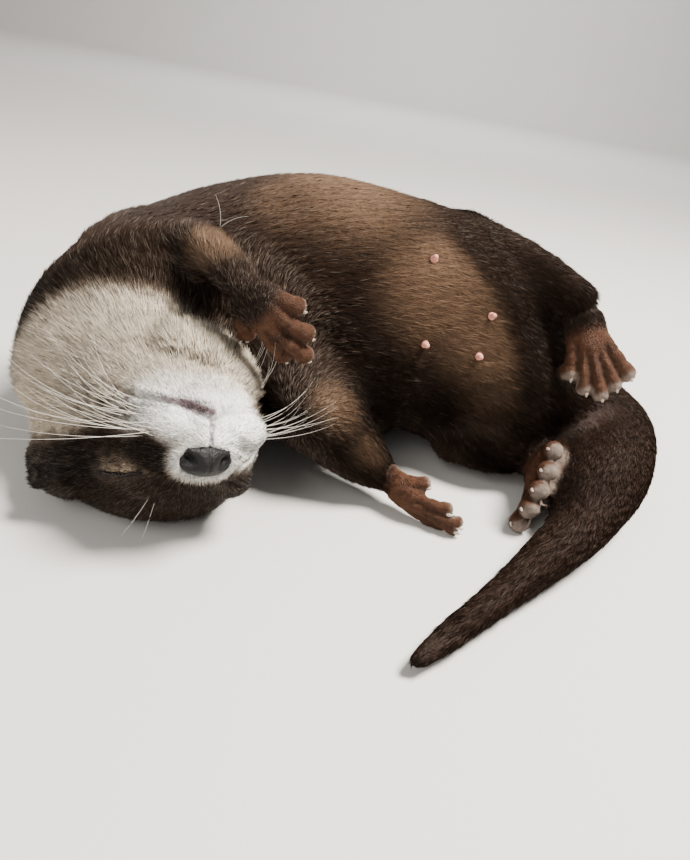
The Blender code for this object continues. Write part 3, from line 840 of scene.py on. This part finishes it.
def otter_markings_with_painted_light():
    """The group that paints the species' markings, with painted light on the chest and forearms and painted
    shade in the face's folds and between the digits, the same on hide and coat.
    """
    tree, given, out = new_group(
        "otter_markings_with_painted_light", [("NodeSocketFloat", "Mottle", 1.0)],
        [("NodeSocketColor", "Colour"), ("NodeSocketFloat", "Bare")],
    )
    pale, white, warm_and_lit = three_of(tree, "marks_coat")
    bare, pad, rusty = three_of(tree, "marks_hide")
    lip, grizzle, tan_or_dark_and_shade = three_of(tree, "marks_face")
    fine = noise(tree, 260.0, 3.0)
    specks = spread(tree, fine, 0.35, 0.62, 1.0, 0.35)
    ragged = reckon(tree, "MULTIPLY_ADD", reckon(tree, "SUBTRACT", fine, 0.5), 1.6, 1.0)
    edge = reckon(tree, "MULTIPLY", pale, ragged)
    colour = blend_colour(tree, rusty, DARK_COAT, RUST_COAT)
    for share, next_colour in (
        (warm_and_lit, WARM_AND_LIT_COAT),
        (spread(tree, edge, 0.02, 0.3), GREY_COAT),
        (spread(tree, edge, 0.3, 0.85), PALE_COAT),
        (white, WHITE_COAT),
        (reckon(tree, "MULTIPLY", grizzle, specks), GRIZZLED_COAT),
        (reckon(tree, "MULTIPLY", spread(tree, tan_or_dark_and_shade, 0.0, 1.0), specks), TAN_COAT),
        (spread(tree, tan_or_dark_and_shade, 0.0, -1.0), BLACK_COAT_AND_SHADE),
        (lip, LIP_HIDE),
        (bare, PAW_HIDE),
        (pad, PAD_HIDE),
    ):
        colour = blend_colour(tree, share, colour, next_colour)
    broad = spread(tree, noise(tree, 38.0, 4.0), 0.3, 0.7, 0.78, 1.2)
    tree.links.new(shaded(tree, given.outputs["Mottle"], colour, broad), out.inputs["Colour"])
    tree.links.new(bare, out.inputs["Bare"])
    return tree


MARKINGS_WITH_PAINTED_LIGHT = otter_markings_with_painted_light()


def new_finish(name, roughness, specular):
    """A material with its shader and its tree."""
    finish = bpy.data.materials.new(name)
    finish.use_nodes = True
    shader = finish.node_tree.nodes["Principled BSDF"]
    shader.inputs["Roughness"].default_value = roughness
    shader.inputs["Specular IOR Level"].default_value = specular
    return finish, finish.node_tree, shader


def bump(tree, shader, height, strength, distance):
    """Fine relief of a surface."""
    ends = (("Height", height), ("Strength", strength), ("Distance", distance))
    tree.links.new(add_node(tree, "ShaderNodeBump", ends).outputs[0], shader.inputs["Normal"])


def hide_finish():
    """Hide with flat underfur, bare and wrinkled on the paws."""
    finish, tree, shader = new_finish("otter_hide", 0.6, 0.18)
    marks = add_node(tree, "ShaderNodeGroup", (("Mottle", 0.7),), node_tree=MARKINGS_WITH_PAINTED_LIGHT).outputs
    wrinkle = noise(tree, 420.0, 6.0)
    colour = shaded(tree, 0.8, marks["Colour"], spread(tree, wrinkle, 0.35, 0.65, 0.6, 1.1))
    tree.links.new(colour, shader.inputs["Base Color"])
    height = reckon(tree, "ADD", grains(tree, 2400.0), wrinkle)
    height = reckon(tree, "MULTIPLY", height, reckon(tree, "MULTIPLY_ADD", marks["Bare"], 0.9, 0.5))
    bump(tree, shader, height, 0.6, 0.0006)
    return finish


FLESH_NODES = [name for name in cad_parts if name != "nose"]


def fit(piece, finish, slot_name, *nodes):
    """The piece in metres in its place, with its finish, riding on the body."""
    piece.data.transform(Matrix.Scale(MM, 4) @ Matrix.Translation(PLACE))
    piece.data.materials.clear()
    piece.data.materials.append(finish)
    piece.data.shade_smooth()
    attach(piece, "root")
    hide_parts(*nodes)


hide_mesh = skin.data.copy()
fit(skin, hide_finish(), "coat", *FLESH_NODES)

# ---------------------------------------------------------------------------
# Nose.  Damp grey-black leather set into the end of the muzzle, with a comma
# of a nostril on each side and a groove down its middle.
NOSE_OUT = Vector((0.92, 0, 0.39)).normalized()
NOSE_SUNK = 2.0
NOSE_HALF = (4.6, 9.3, 5.6)
nose_up = NOSE_OUT.cross(Vector((0, 1, 0)))
nose_turn = Matrix((NOSE_OUT, (0, 1, 0), nose_up)).transposed().to_4x4()
nose_frame = Matrix.Translation(Vector(NOSE_MIDDLE) - NOSE_OUT * NOSE_SUNK) @ nose_turn
nose = bmesh.new()
egg(nose, Vector(), NOSE_HALF, divisions=6)
# Each point's share of a nostril's pit, where the nose is painted near black as shade.
nostril_shade = []
for vertex in nose.verts:
    x, y, z = vertex.co
    out = abs(y)
    front = max(0.0, x / NOSE_HALF[0]) ** 0.6
    pit = math.exp(-((out - 6.1) / 2.3) ** 2 - ((z + 1.2 + 0.15 * (out - 6)) / 1.8) ** 2)
    nostril_shade.append((pit * (x > 0), 0, 0))
    slit = math.exp(-((out - 8.0) / 1.8) ** 2 - ((z - 0.8) / 0.7) ** 2)
    wing = math.exp(-((out - 7.3) / 1.8) ** 2 - ((z + 3.4) / 1.6) ** 2)
    middle = math.exp(-(y / 0.55) ** 2) * math.exp(-max(0, z + 0.5) ** 2 / 6)
    pad = math.exp(-(y / 3.6) ** 2 - ((z - 0.4) / 4) ** 2)
    vertex.co.x += front * (1.2 * pad + 0.9 * wing - 3.6 * pit - 1.1 * slit - 0.5 * middle)
    vertex.co.z -= 0.09 * (z < 0) * out * (1 - front) + 0.5 * wing
    vertex.co = HEAD_FRAME @ (nose_frame @ vertex.co)
nose_leather = new_piece("nose_leather", nose)
write_field(nose_leather.data, "nostril_shade", np.array(nostril_shade))


def mottled_tones():
    """The group for one stuff in soft patches between two tones."""
    tree, given, out = new_group(
        "mottled_tones",
        [("NodeSocketFloat", "Scale", 500.0), ("NodeSocketFloat", "Detail", 2.0),
         ("NodeSocketColor", "Low", (0, 0, 0, 1)), ("NodeSocketColor", "High", (1, 1, 1, 1))],
        [("NodeSocketColor", "Colour"), ("NodeSocketFloat", "Patches")],
    )
    patches = noise(tree, given.outputs["Scale"], given.outputs["Detail"])
    colour = blend_colour(tree, patches, given.outputs["Low"], given.outputs["High"])
    tree.links.new(colour, out.inputs["Colour"])
    tree.links.new(patches, out.inputs["Patches"])
    return tree


MOTTLED = mottled_tones()


def mottled(tree, scale, low, high, detail=2.0):
    """The group in a material: the colour and the patches themselves."""
    ends = (("Scale", scale), ("Detail", detail), ("Low", (*low, 1.0)), ("High", (*high, 1.0)))
    return add_node(tree, "ShaderNodeGroup", ends, node_tree=MOTTLED).outputs


nose_finish, tree, shader = new_finish("nose_leather", 0.5, 0.16)
tones = mottled(tree, 160.0, (0.004, 0.0037, 0.0038), (0.013, 0.012, 0.0125), 3.0)
# The nostrils' pits are painted near black: painted shade in the holes.
painted_nostril_shade = spread(tree, three_of(tree, "nostril_shade")[0], 0.3, 0.7)
tree.links.new(
    blend_colour(tree, painted_nostril_shade, tones["Colour"], (0.002, 0.002, 0.002)), shader.inputs["Base Color"],
)
tree.links.new(spread(tree, tones["Patches"], 0.3, 0.7, 0.42, 0.62), shader.inputs["Roughness"])
bump(tree, shader, grains(tree, 1100.0), 0.5, 0.0003)
fit(nose_leather, nose_finish, "nose_leather", "nose")

# ---------------------------------------------------------------------------
# Closed eyes.  The two lids meet in a dark, slightly moist rim of bare skin,
# which lies in the fold of the hide over the eye.
hide_bm = bmesh.new()
hide_bm.from_mesh(hide_mesh)
hide_tree = BVHTree.FromBMesh(hide_bm)


def on_hide(point):
    """The nearest place on the hide, and the way out of it."""
    return hide_tree.find_nearest(point)[:2]


def strand(bm, path, radii, sides):
    """A thin tapering thread along a path."""
    rings = []
    for k, point in enumerate(path):
        run = (path[min(k + 1, len(path) - 1)] - path[max(k - 1, 0)]).normalized()
        over = run.orthogonal().normalized()
        across = run.cross(over)
        rings.append([
            point + (over * math.cos(a) + across * math.sin(a)) * radii[k]
            for a in (2 * math.pi * n / sides for n in range(sides))
        ])
    close_rings(bm, rings)


def mottled_finish(name, roughness, specular, *tones, relief=None):
    """A material of one stuff in two tones, with a relief of the same patches."""
    finish, tree, shader = new_finish(name, roughness, specular)
    parts = mottled(tree, *tones)
    tree.links.new(parts["Colour"], shader.inputs["Base Color"])
    if relief:
        bump(tree, shader, parts["Patches"], *relief)
    return finish, shader


LID_OUT = 0.22
lid_finish, shader = mottled_finish(
    "lid_rim", 0.6, 0.25, 700.0, (0.004, 0.003, 0.003), (0.016, 0.01, 0.009), relief=(0.4, 0.0002),
)
for side, line in (("left", LID_LINE), ("right", other_side(LID_LINE))):
    lid = bmesh.new()
    path = []
    for row in curve_rows(line, 5):
        place, out = on_hide(HEAD_FRAME @ Vector(row))
        path.append(place + out * LID_OUT)
    last = len(path) - 1
    radii = [0.12 + 0.33 * math.sin(math.pi * k / last) ** 0.5 for k in range(last + 1)]
    strand(lid, path, radii, 8)
    fit(new_piece("lid_rim_" + side, lid), lid_finish, "nose_leather", "eyelid_" + side)

# ---------------------------------------------------------------------------
# Claws.  Each digit ends in a tiny blunt claw of pale horn, which does not
# reach past its pad; the species is named for them.
CLAW_LOW = 0.15
# Rows hold how far ahead and how far towards the nail a place of the claw lies from the digit's end, in
# the digit's radii, then its half width and half height.
CLAW_ROWS = ((0.2, 0.62, 0.8, 0.55), (0.62, 0.68, 0.7, 0.5), (0.92, 0.5, 0.38, 0.3))
claw_finish, shader = mottled_finish(
    "claw_horn", 0.35, 0.5, 900.0, (0.28, 0.2, 0.16), (0.62, 0.55, 0.48), relief=(0.3, 0.0002),
)
for name, spec in PAWS.items():
    claws = bmesh.new()
    for k in range(5):
        rows, step, nail_side = digit_rows(spec, k)
        end = Vector(rows[-1][:3])
        claw = []
        for ahead, up, wide, high in CLAW_ROWS:
            claw.append((*(end + (step * ahead + nail_side * up) * spec["radius"]), wide, high))
        length_of_flesh(claws, claw, steps=4, sides=10, above=nail_side)
    for vertex in claws.verts:
        vertex.co.z = max(vertex.co.z, CLAW_LOW)
    fit(new_piece("claws_" + name, claws), claw_finish, "paw_skin", name)

# ---------------------------------------------------------------------------
# Teats.  Four pink teats of soft bare skin stand in two rows on the belly's
# thin coat, each a low mound with a nipple grown out of it.
TEATS = ((9.5, 271.9, 97.2), (38, 270.1, 79), (13.2, 256.3, 66), (36.4, 263.1, 63))
# How far out of the hide each of a teat's two lumps lies, and its half sizes.
TEAT_LUMPS = ((0.7, (1.7, 1.7, 1.5)), (2.3, (1.2, 1.2, 1.5)))
teat_finish, shader = mottled_finish(
    "teat_skin", 0.5, 0.4, 500.0, (0.5, 0.17, 0.13), (0.68, 0.34, 0.27), 4.0, relief=(0.4, 0.0003),
)
shader.inputs["Subsurface Weight"].default_value = 0.15
shader.inputs["Subsurface Radius"].default_value = (0.002, 0.001, 0.0006)
lumps = bmesh.new()
for spot in TEATS:
    place, out = on_hide(Vector(spot))
    turn = out.to_track_quat("Z", "Y").to_matrix().to_4x4()
    for height, half in TEAT_LUMPS:
        egg(lumps, place + out * height, half, turn)
teats = new_piece("teats", lumps)
grow_together(teats, voxel=0.3, rounds=4)
fit(teats, teat_finish, "paw_skin", "abdomen")

# ---------------------------------------------------------------------------
# Coat.  Short dense hair in thin tufts, rooted in the hide.  It runs back from
# the nose, down the limbs and along the tail, lies flat on the back and belly,
# and is longer and looser on the throat and cheeks.
DENSITY = 1.0
PIECE_TUFTS = 49000
# Hair per square millimetre, its length, width and lift, on the trunk and in other places.
TRUNK_HAIR = (2.9, 6.0, 0.34, 0.13)
TAIL_HAIR = (3.3, 5.2, 0.3, 0.08)
HEAD_HAIR = (4.3, 3.8, 0.27, 0.2)
THROAT_HAIR = (4.6, 5.6, 0.28, 0.3)
MUZZLE_HAIR = (7.2, 1.9, 0.2, 0.3)
PAW_HAIR = (5.5, 2.2, 0.24, 0.2)
BARE_HAIR = (1.2, 1.1, 0.16, 0.2)


def unit(vectors):
    """Each vector with a length of one."""
    return vectors / (np.linalg.norm(vectors, axis=1)[:, None] + 1e-9)


def lie_of_coat(points, normals, skull):
    """The way the hair runs at every point of the hide."""
    stretches = []
    for rows in (TRUNK, TAIL, *ARMS.values(), *LEGS.values()):
        for start, end in zip(rows, rows[1:]):
            place = np.array(start[:3], float)
            stretches.append((place, np.array(end[:3], float) - place, 0.5 * (start[3] + end[3])))
    for spec in PAWS.values():
        ahead = np.array(paw_lines(spec)[0])
        long, wide, thick = spec["palm"]
        stretches.append((np.array(spec["wrist"], float), ahead * (long + 20), wide / 1.6))
    total = np.zeros_like(points)
    for place, run, reach in stretches:
        t = np.clip((points - place) @ run / (run @ run), 0, 1)
        away = np.linalg.norm(points - place - t[:, None] * run, axis=1)
        total += (1 / (away / reach + 0.05) ** 6)[:, None] * run / np.linalg.norm(run)
    from_nose = points - np.array(NOSE_PLACE + HEAD_TURN @ Vector((4, 0, 2)))
    total = unit(total) * (1 - skull[:, None]) + unit(from_nose) * skull[:, None]
    total -= normals * np.sum(total * normals, axis=1)[:, None]
    return unit(total)


def girths_away(points, rows):
    """How far points lie from a length of flesh, in its own half widths, and how far along it."""
    away, along = near_path(points, [row[:3] for row in rows])
    return away / np.interp(along, np.linspace(0, 1, len(rows)), [row[3] for row in rows]), along


def tail_share(points):
    """1 on the tail, 0 on the trunk."""
    away, along = girths_away(points, TAIL)
    return within(away, 1.15, 1.5) * ramp(along, 0.1, 0.25)


def hair_sizes(points, normals, skull):
    """Hair per square millimetre, its length, width and lift at every point."""
    face = in_head(points)
    thick, long, wide, lift = np.repeat(np.array(TRUNK_HAIR)[:, None], len(points), axis=1)
    for share, values in (
        (tail_share(points), TAIL_HAIR),
        (skull, HEAD_HAIR),
        (skull * within(face[:, 2], -12, -2), THROAT_HAIR),
        (skull * ramp(face[:, 0], -34, -8), MUZZLE_HAIR),
        (paw_share(points, 4.0), PAW_HAIR),
        (bare_share(points), BARE_HAIR),
    ):
        for field, value in zip((thick, long, wide, lift), values):
            field += (value - field) * share
    for line in (LID_LINE, other_side(LID_LINE)):
        away, along = near_path(face, line)
        long += (1.3 - long) * within(away, 2, 6)
        thick *= ramp(away, 0.9, 2.0)
    away, along = near_path(face + (0, 0, LIP_OVER), MOUTH_SIDE)
    thick *= 1 - 0.8 * within(away, 1.5, 3.2) * within(along, 0.5, 0.75)
    for line in (MOUTH_SIDE, other_side(MOUTH_SIDE), PHILTRUM, CHEEK_CREASE, BROW_CREASE):
        away, along = near_path(face, line)
        thick *= 0.05 + 0.95 * ramp(away, 0.8, 2.3)
        long += (1.3 - long) * within(away, 1, 5)
    for place, turn in EARS.values():
        long += (1.6 - long) * within(distance_to(face, place), 7, 12)
    nose_away = nose_distance(face, (6, 9.2, 5.6))
    thick *= ramp(nose_away, 0.92, 1.05)
    long += (1.5 - long) * within(nose_away, 1.1, 1.5)
    for spot in TEATS:
        thick *= ramp(distance_to(points, spot), 1.8, 3.2)
    at_tip = within(distance_to(points, TAIL[-1][:3]), 8, 20)
    long *= 1 - 0.5 * at_tip
    lift *= 1 - 0.5 * at_tip
    # Hair that lies on the floor is thinner.
    thick *= 1 - 0.55 * ramp(-normals[:, 2], 0.6, 0.95) * (points[:, 2] < 20)
    return thick, long, wide, lift


hide_points, hide_normals = read_points(hide_mesh)
hide_mesh.calc_loop_triangles()
triangles = read_rows(hide_mesh.loop_triangles, "vertices", 3, np.int32)
loops = read_rows(hide_mesh.loop_triangles, "loops", 3, np.int32)
patches = read_rows(hide_mesh.uv_layers["OFBake"].data, "uv", 2)[loops]

skull = skull_share(in_head(hide_points), -100, 58, 78)
lie = lie_of_coat(hide_points, hide_normals, skull)
sizes = np.stack(hair_sizes(hide_points, hide_normals, skull), axis=1)
corners = hide_points[triangles]
areas = np.linalg.norm(np.cross(corners[:, 1] - corners[:, 0], corners[:, 2] - corners[:, 0]), axis=1) / 2
wanted = areas * sizes[triangles, 0].mean(1) * DENSITY
rng = np.random.default_rng(7)
counts = np.floor(wanted + rng.random(len(wanted))).astype(int)
home = np.repeat(np.arange(len(triangles)), counts)
u = rng.random(len(home))
v = rng.random(len(home))
u, v = np.where(u + v > 1, 1 - u, u), np.where(u + v > 1, 1 - v, v)
shares = np.stack([1 - u - v, u, v], axis=1)


def at_roots(field):
    """A field of the hide read at each tuft's root."""
    values = np.asarray(field)[triangles[home]]
    return np.einsum("ij,ijk->ik", shares, values.reshape(len(home), 3, -1))


# Each tuft's root and its sizes, the markings there, and its place in the hide's map.
roots = at_roots(hide_points)
out = unit(at_roots(hide_normals))
run = at_roots(lie)
size = at_roots(sizes)
root_marks = {name: at_roots(values) for name, values in marks.items()}
root_patch = np.einsum("ij,ijk->ik", shares, patches[home])
root_skull = at_roots(skull[:, None])[:, 0]
side = unit(np.cross(out, run))
# Locks: neighbouring tufts lean the same way, over a few millimetres.
wave = np.sin(roots @ np.array((0.31, 0.17, 0.23)) * 2.1)
wave += np.sin(roots @ np.array((-0.19, 0.37, 0.11)) * 2.9 + 1.7)
lock = np.sin(roots @ np.array((1.3, -0.7, 0.9)) + 2.0 * wave)
lock += np.sin(roots @ np.array((-0.8, 1.1, 1.2)) + wave)
lean = 0.07 * wave + 0.09 * lock + rng.normal(0, 0.12, len(roots))
run = unit(run * np.cos(lean)[:, None] + side * np.sin(lean)[:, None])
side = np.cross(out, run)
long = size[:, 1] * rng.uniform(0.65, 1.25, len(roots))
wide = size[:, 2] * rng.uniform(0.7, 1.2, len(roots))
lift = size[:, 3] * (1 + 0.25 * lock) * rng.uniform(0.5, 1.6, len(roots))
# A tuft is a thin blade with three corners at its root, just in the hide, and one at its tip.
ROOT_SUNK = 0.25
tip = roots + run * (long * np.cos(lift))[:, None] + out * (long * np.sin(lift))[:, None]
sunk = roots - out * ROOT_SUNK
tuft_points = np.stack([
    sunk + side * (wide / 2)[:, None],
    sunk - side * (wide / 2)[:, None],
    sunk + out * (wide * 0.55 + 0.2)[:, None] - run * (wide * 0.2)[:, None],
    tip,
], axis=1)
tuft_points[:, :, 2] = np.maximum(tuft_points[:, :, 2], 0.2)
tone = np.clip(0.5 + 0.2 * rng.normal(0, 1, len(roots)) + 0.06 * lock, 0, 1)
# A few guard hairs have pale tips: more on the face, hardly any on trunk and tail.
guard_share = 0.03 + 0.2 * root_skull
guard = 0.7 * (rng.random(len(roots)) < guard_share) * rng.uniform(0.3, 1, len(roots))
# Dark stubble stands between the white hairs of the lip pads and the tan ones along the lids.
root_face = in_head(roots)
stubble = 0.2 * within(root_face[:, 0], -3, 3) * ramp(root_face[:, 0], -28, -12) * (root_face[:, 2] > -17)
stubble += 0.45 * np.clip(root_marks["marks_face"][:, 2], 0, 1)
stubble += 0.12 * (root_marks["marks_coat"][:, 0] > 0.4) * within(root_face[:, 2], -30, -12)
chosen = rng.random(len(roots)) < stubble
root_marks["marks_face"][chosen, 2] = -rng.uniform(0.35, 0.95, chosen.sum())
# Pale guard hairs stand close together on the right brow.
brow = np.exp(-np.sum(((root_face - (-9, -12, 11)) / (5, 6, 3)) ** 2, axis=1))
guard = np.where(rng.random(len(roots)) < 0.5 * brow, 0.9, guard)

GUARD_HAIR = (0.26, 0.21, 0.165)


def coat_finish():
    """Hair with hardly any gloss, darker at the root than at the tip: painted shade deep in the coat."""
    finish, tree, shader = new_finish("otter_coat", 0.55, 0.1)
    marks = add_node(tree, "ShaderNodeGroup", (("Mottle", 0.8),), node_tree=MARKINGS_WITH_PAINTED_LIGHT).outputs
    along, own, pale_tip = three_of(tree, "hair")
    # Darker at the root, lighter at the tip: painted shade deep in the coat.
    value = reckon(
        tree, "MULTIPLY", spread(tree, along, 0.0, 1.0, 0.72, 1.2), spread(tree, own, 0.0, 1.0, 0.7, 1.35),
    )
    colour = shaded(tree, 1.0, marks["Colour"], value)
    colour = blend_colour(tree, reckon(tree, "MULTIPLY", pale_tip, along), colour, GUARD_HAIR)
    tree.links.new(colour, shader.inputs["Base Color"])
    return finish


HAIR = coat_finish()
PATCH = 0.003
PATCH_CORNERS = np.array(((0, 0), (1, 0), (0.5, 0.35), (0.5, 1))) * PATCH - PATCH / 2
TUFT_FACES = np.array(((0, 2, 1), (0, 3, 2), (2, 3, 1), (0, 1, 3)))


def coat_piece(name, chosen, slot_name, *nodes):
    """One piece of the coat: its tufts joined into one mesh."""
    count = len(chosen)
    mesh = bpy.data.meshes.new(name)
    mesh.vertices.add(count * 4)
    mesh.vertices.foreach_set("co", tuft_points[chosen].astype(np.float32).ravel())
    faces = (np.arange(count)[:, None, None] * 4 + TUFT_FACES[None]).reshape(-1)
    mesh.loops.add(len(faces))
    mesh.loops.foreach_set("vertex_index", faces.astype(np.int32))
    mesh.polygons.add(count * 4)
    mesh.polygons.foreach_set("loop_start", np.arange(0, len(faces), 3, dtype=np.int32))
    mesh.update(calc_edges=True)
    for field, values in root_marks.items():
        write_field(mesh, field, np.repeat(values[chosen], 4, axis=0))
    hair = np.zeros((count, 4, 3), np.float32)
    hair[:, 3, 0] = 1
    hair[:, :, 1] = tone[chosen][:, None]
    hair[:, :, 2] = guard[chosen][:, None]
    write_field(mesh, "hair", hair)
    corners = root_patch[chosen][:, None, :] + PATCH_CORNERS[None]
    uv = mesh.uv_layers.new(name="OFBake")
    uv.data.foreach_set("uv", corners.reshape(-1, 2)[faces].astype(np.float32).ravel())
    piece = bpy.data.objects.new(name, mesh)
    bpy.context.scene.collection.objects.link(piece)
    fit(piece, HAIR, slot_name, *nodes)


COAT_PARTS = {
    "head": ("pale_coat", ("head", "ear_left", "ear_right")),
    "paws": ("paw_skin", tuple(PAWS)),
    "tail": ("coat", ("tail_base", "tail_middle", "tail_tip")),
    "limbs": ("coat", ("upper_arm_left", "upper_arm_right", "forearm_left", "forearm_right",
                       "thigh_left", "thigh_right", "shank_left", "shank_right")),
    "trunk": ("coat", ("neck", "chest", "abdomen", "tail_base")),
}
# Each tuft belongs to the length of flesh that it stands nearest to, or else to the head or the paws.
LENGTHS = {"tail": [TAIL], "limbs": [*ARMS.values(), *LEGS.values()], "trunk": [TRUNK]}
reach = [np.min([girths_away(roots, rows)[0] for rows in some], axis=0) for some in LENGTHS.values()]
home_part = np.array(list(LENGTHS))[np.argmin(reach, axis=0)]
home_part[root_skull > 0.5] = "head"
home_part[at_roots(paw_share(hide_points, 4.0)[:, None])[:, 0] > 0.4] = "paws"
for part, (slot_name, nodes) in COAT_PARTS.items():
    chosen = np.nonzero(home_part == part)[0]
    chosen = chosen[np.argsort(roots[chosen, 0], kind="stable")]
    pieces = max(1, math.ceil(len(chosen) / PIECE_TUFTS))
    for n, some in enumerate(np.array_split(chosen, pieces)):
        coat_piece(f"coat_{part}_{n + 1}", some, slot_name, *nodes)

# ---------------------------------------------------------------------------
# Whiskers.  Long cream bristles stand in the lip pads and sweep back past the
# cheeks; a few short ones stand over the eyes and at the left elbow.
WHISKER_THICK = 0.085
WHISKER_SUNK = 0.3
# A row holds the root, its first and last heading in the head's frame, the length and how many grow there.
WHISKERS = (
    ((-12, 22, -8), (-0.2, 0.95, -0.1), (-0.4, 0.7, -0.6), 52, 7),
    ((-4, 18, -5), (-0.1, 1, 0.0), (-0.45, 0.8, -0.3), 48, 5),
    ((-9, 21, -11), (-0.2, 0.9, -0.3), (-0.3, 0.5, -0.9), 44, 6),
    ((-16, 25, -14), (-0.3, 0.8, -0.4), (-0.3, 0.4, -0.9), 34, 4),
    ((-1, 12, -6), (0.2, 0.9, -0.2), (-0.45, 0.85, -0.35), 40, 3),
    ((-3, -19, -9), (0.5, -0.8, -0.2), (0.45, -0.7, -0.45), 26, 8),
    ((-6, -21, -12), (0.4, -0.8, -0.4), (0.3, -0.5, -0.8), 24, 7),
    ((-34, -18, -38), (0.9, -0.3, -0.5), (0.7, -0.2, -0.84), 22, 3),
    ((-32, -27, -29), (0.7, 0.1, -0.7), (0.15, 0.35, -1), 32, 5),
    ((-31, -30, -24), (0.8, -0.2, -0.6), (0.37, 0.05, -1), 27, 5),
    ((-18, 12, 20), (0.2, 0.3, 0.9), (-0.1, 0.3, 0.95), 17, 2),
)
# The elbow's two bristles: first heading, last heading and length.
ELBOW = Vector((-75.8, 258.6, 96.9))
ELBOW_BRISTLES = (((0.1, -0.2, 1), (-0.5, 0, 0.9), 13), ((0.7, 0, 0.7), (1, 0.1, 0.2), 13))
ELBOW_THICK = 0.14
BRISTLE_STEPS = 10
whiskers = bmesh.new()
chance = np.random.default_rng(11)


def bristle(root, first, last, length, thickness):
    """One tapering bristle, which bows from its first heading to its last and keeps off the floor."""
    path = [root.copy()]
    for k in range(BRISTLE_STEPS):
        share = (k / (BRISTLE_STEPS - 1)) ** 1.3
        path.append(path[-1] + first.lerp(last, share).normalized() * length / BRISTLE_STEPS)
    radii = [thickness * (1 - 0.85 * k / BRISTLE_STEPS) for k in range(BRISTLE_STEPS + 1)]
    if min(point.z for point in path) > 0.3:
        strand(whiskers, path, radii, 4)


for root, first, last, length, many in WHISKERS:
    for k in range(many):
        stray = Vector(chance.normal(0, 1, 3)) * 2.4
        place, out = on_hide(HEAD_FRAME @ (Vector(root) + stray))
        drift = Vector(chance.normal(0, 0.13, 3))
        start = HEAD_TURN @ (Vector(first).normalized() + drift)
        end = HEAD_TURN @ (Vector(last).normalized() + drift * 1.4)
        bristle(place - out * WHISKER_SUNK, start, end, length * chance.uniform(0.6, 1.1), WHISKER_THICK)
for first, last, length in ELBOW_BRISTLES:
    bristle(on_hide(ELBOW)[0], Vector(first), Vector(last), length, ELBOW_THICK)
whisker_finish, shader = mottled_finish("whisker", 0.35, 0.5, 60.0, (0.55, 0.5, 0.43), (0.85, 0.81, 0.74))
fit(new_piece("whiskers", whiskers), whisker_finish, "pale_coat", "head")

# ---------------------------------------------------------------------------
# Floor, light and camera.  One sweep of painted board is floor and wall, bent
# up in a wide curve.  A warm key lamp hangs over the right, a weak fill on the
# left, and a third lamp lights the wall.
FLOOR_WIDE = 6.0
FLOOR_DROP = 0.0003
SWEEP_START = 3.2
SWEEP = 0.8
profile = [(-4.0, 0), (0.0, 0), (SWEEP_START, 0)]
for a in np.linspace(0.1, math.pi / 2, 15):
    profile.append((SWEEP_START + SWEEP * math.sin(a), SWEEP * (1 - math.cos(a))))
profile.append((SWEEP_START + SWEEP, 4.0))
board = bmesh.new()
left, right = [
    [board.verts.new((x, y, z - FLOOR_DROP)) for y, z in profile] for x in (-FLOOR_WIDE, FLOOR_WIDE)
]
for k in range(len(profile) - 1):
    board.faces.new((left[k], right[k], right[k + 1], left[k + 1]))
floor = new_piece("floor", board)
floor.data.shade_smooth()
floor_finish, shader = mottled_finish("floor_paint", 0.7, 0.3, 3.0, (0.62, 0.6, 0.57), (0.66, 0.64, 0.61))
floor.data.materials.append(floor_finish)


def lamp(name, place, target, size, watts, colour):
    """A large soft lamp turned to a place."""
    light = bpy.data.lights.new(name, "AREA")
    light.shape = "DISK"
    light.size = size
    light.energy = watts
    light.color = colour
    made = bpy.data.objects.new(name, light)
    made.location = place
    made.rotation_euler = (Vector(target) - Vector(place)).to_track_quat("-Z", "Y").to_euler()
    bpy.context.scene.collection.objects.link(made)


lamp("key", (0.5, 0.05, 1.1), (-0.02, 0, 0.05), 0.45, 62, (1.0, 0.95, 0.88))
lamp("fill", (-0.6, -0.9, 0.8), (0, 0, 0.05), 0.9, 9, (1.0, 0.97, 0.93))
lamp("backdrop", (0, 1.9, 1.8), (0, 3.6, 0.3), 1.4, 70, (1.0, 0.98, 0.96))
world = bpy.data.worlds.new("studio")
world.use_nodes = True
world.node_tree.nodes["Background"].inputs["Color"].default_value = (0.9, 0.89, 0.88, 1)
world.node_tree.nodes["Background"].inputs["Strength"].default_value = 0.45
bpy.context.scene.world = world

CAMERA_HEIGHT = 0.16257
# The camera's own right, up and back, as columns.
CAMERA_TURN = Matrix((
    (0.97776, -0.20510, 0.04385),
    (0.13745, 0.46870, -0.87260),
    (0.15842, 0.85922, 0.48646),
))
camera = bpy.data.objects.new("camera", bpy.data.cameras.new("camera"))
camera.data.lens = 27.889
camera.data.sensor_width = 36
camera.data.clip_start = 0.01
camera.matrix_world = Matrix.Translation((0, 0, CAMERA_HEIGHT)) @ CAMERA_TURN.to_4x4()
camera.location += PLACE * MM
bpy.context.scene.collection.objects.link(camera)
bpy.context.scene.camera = camera
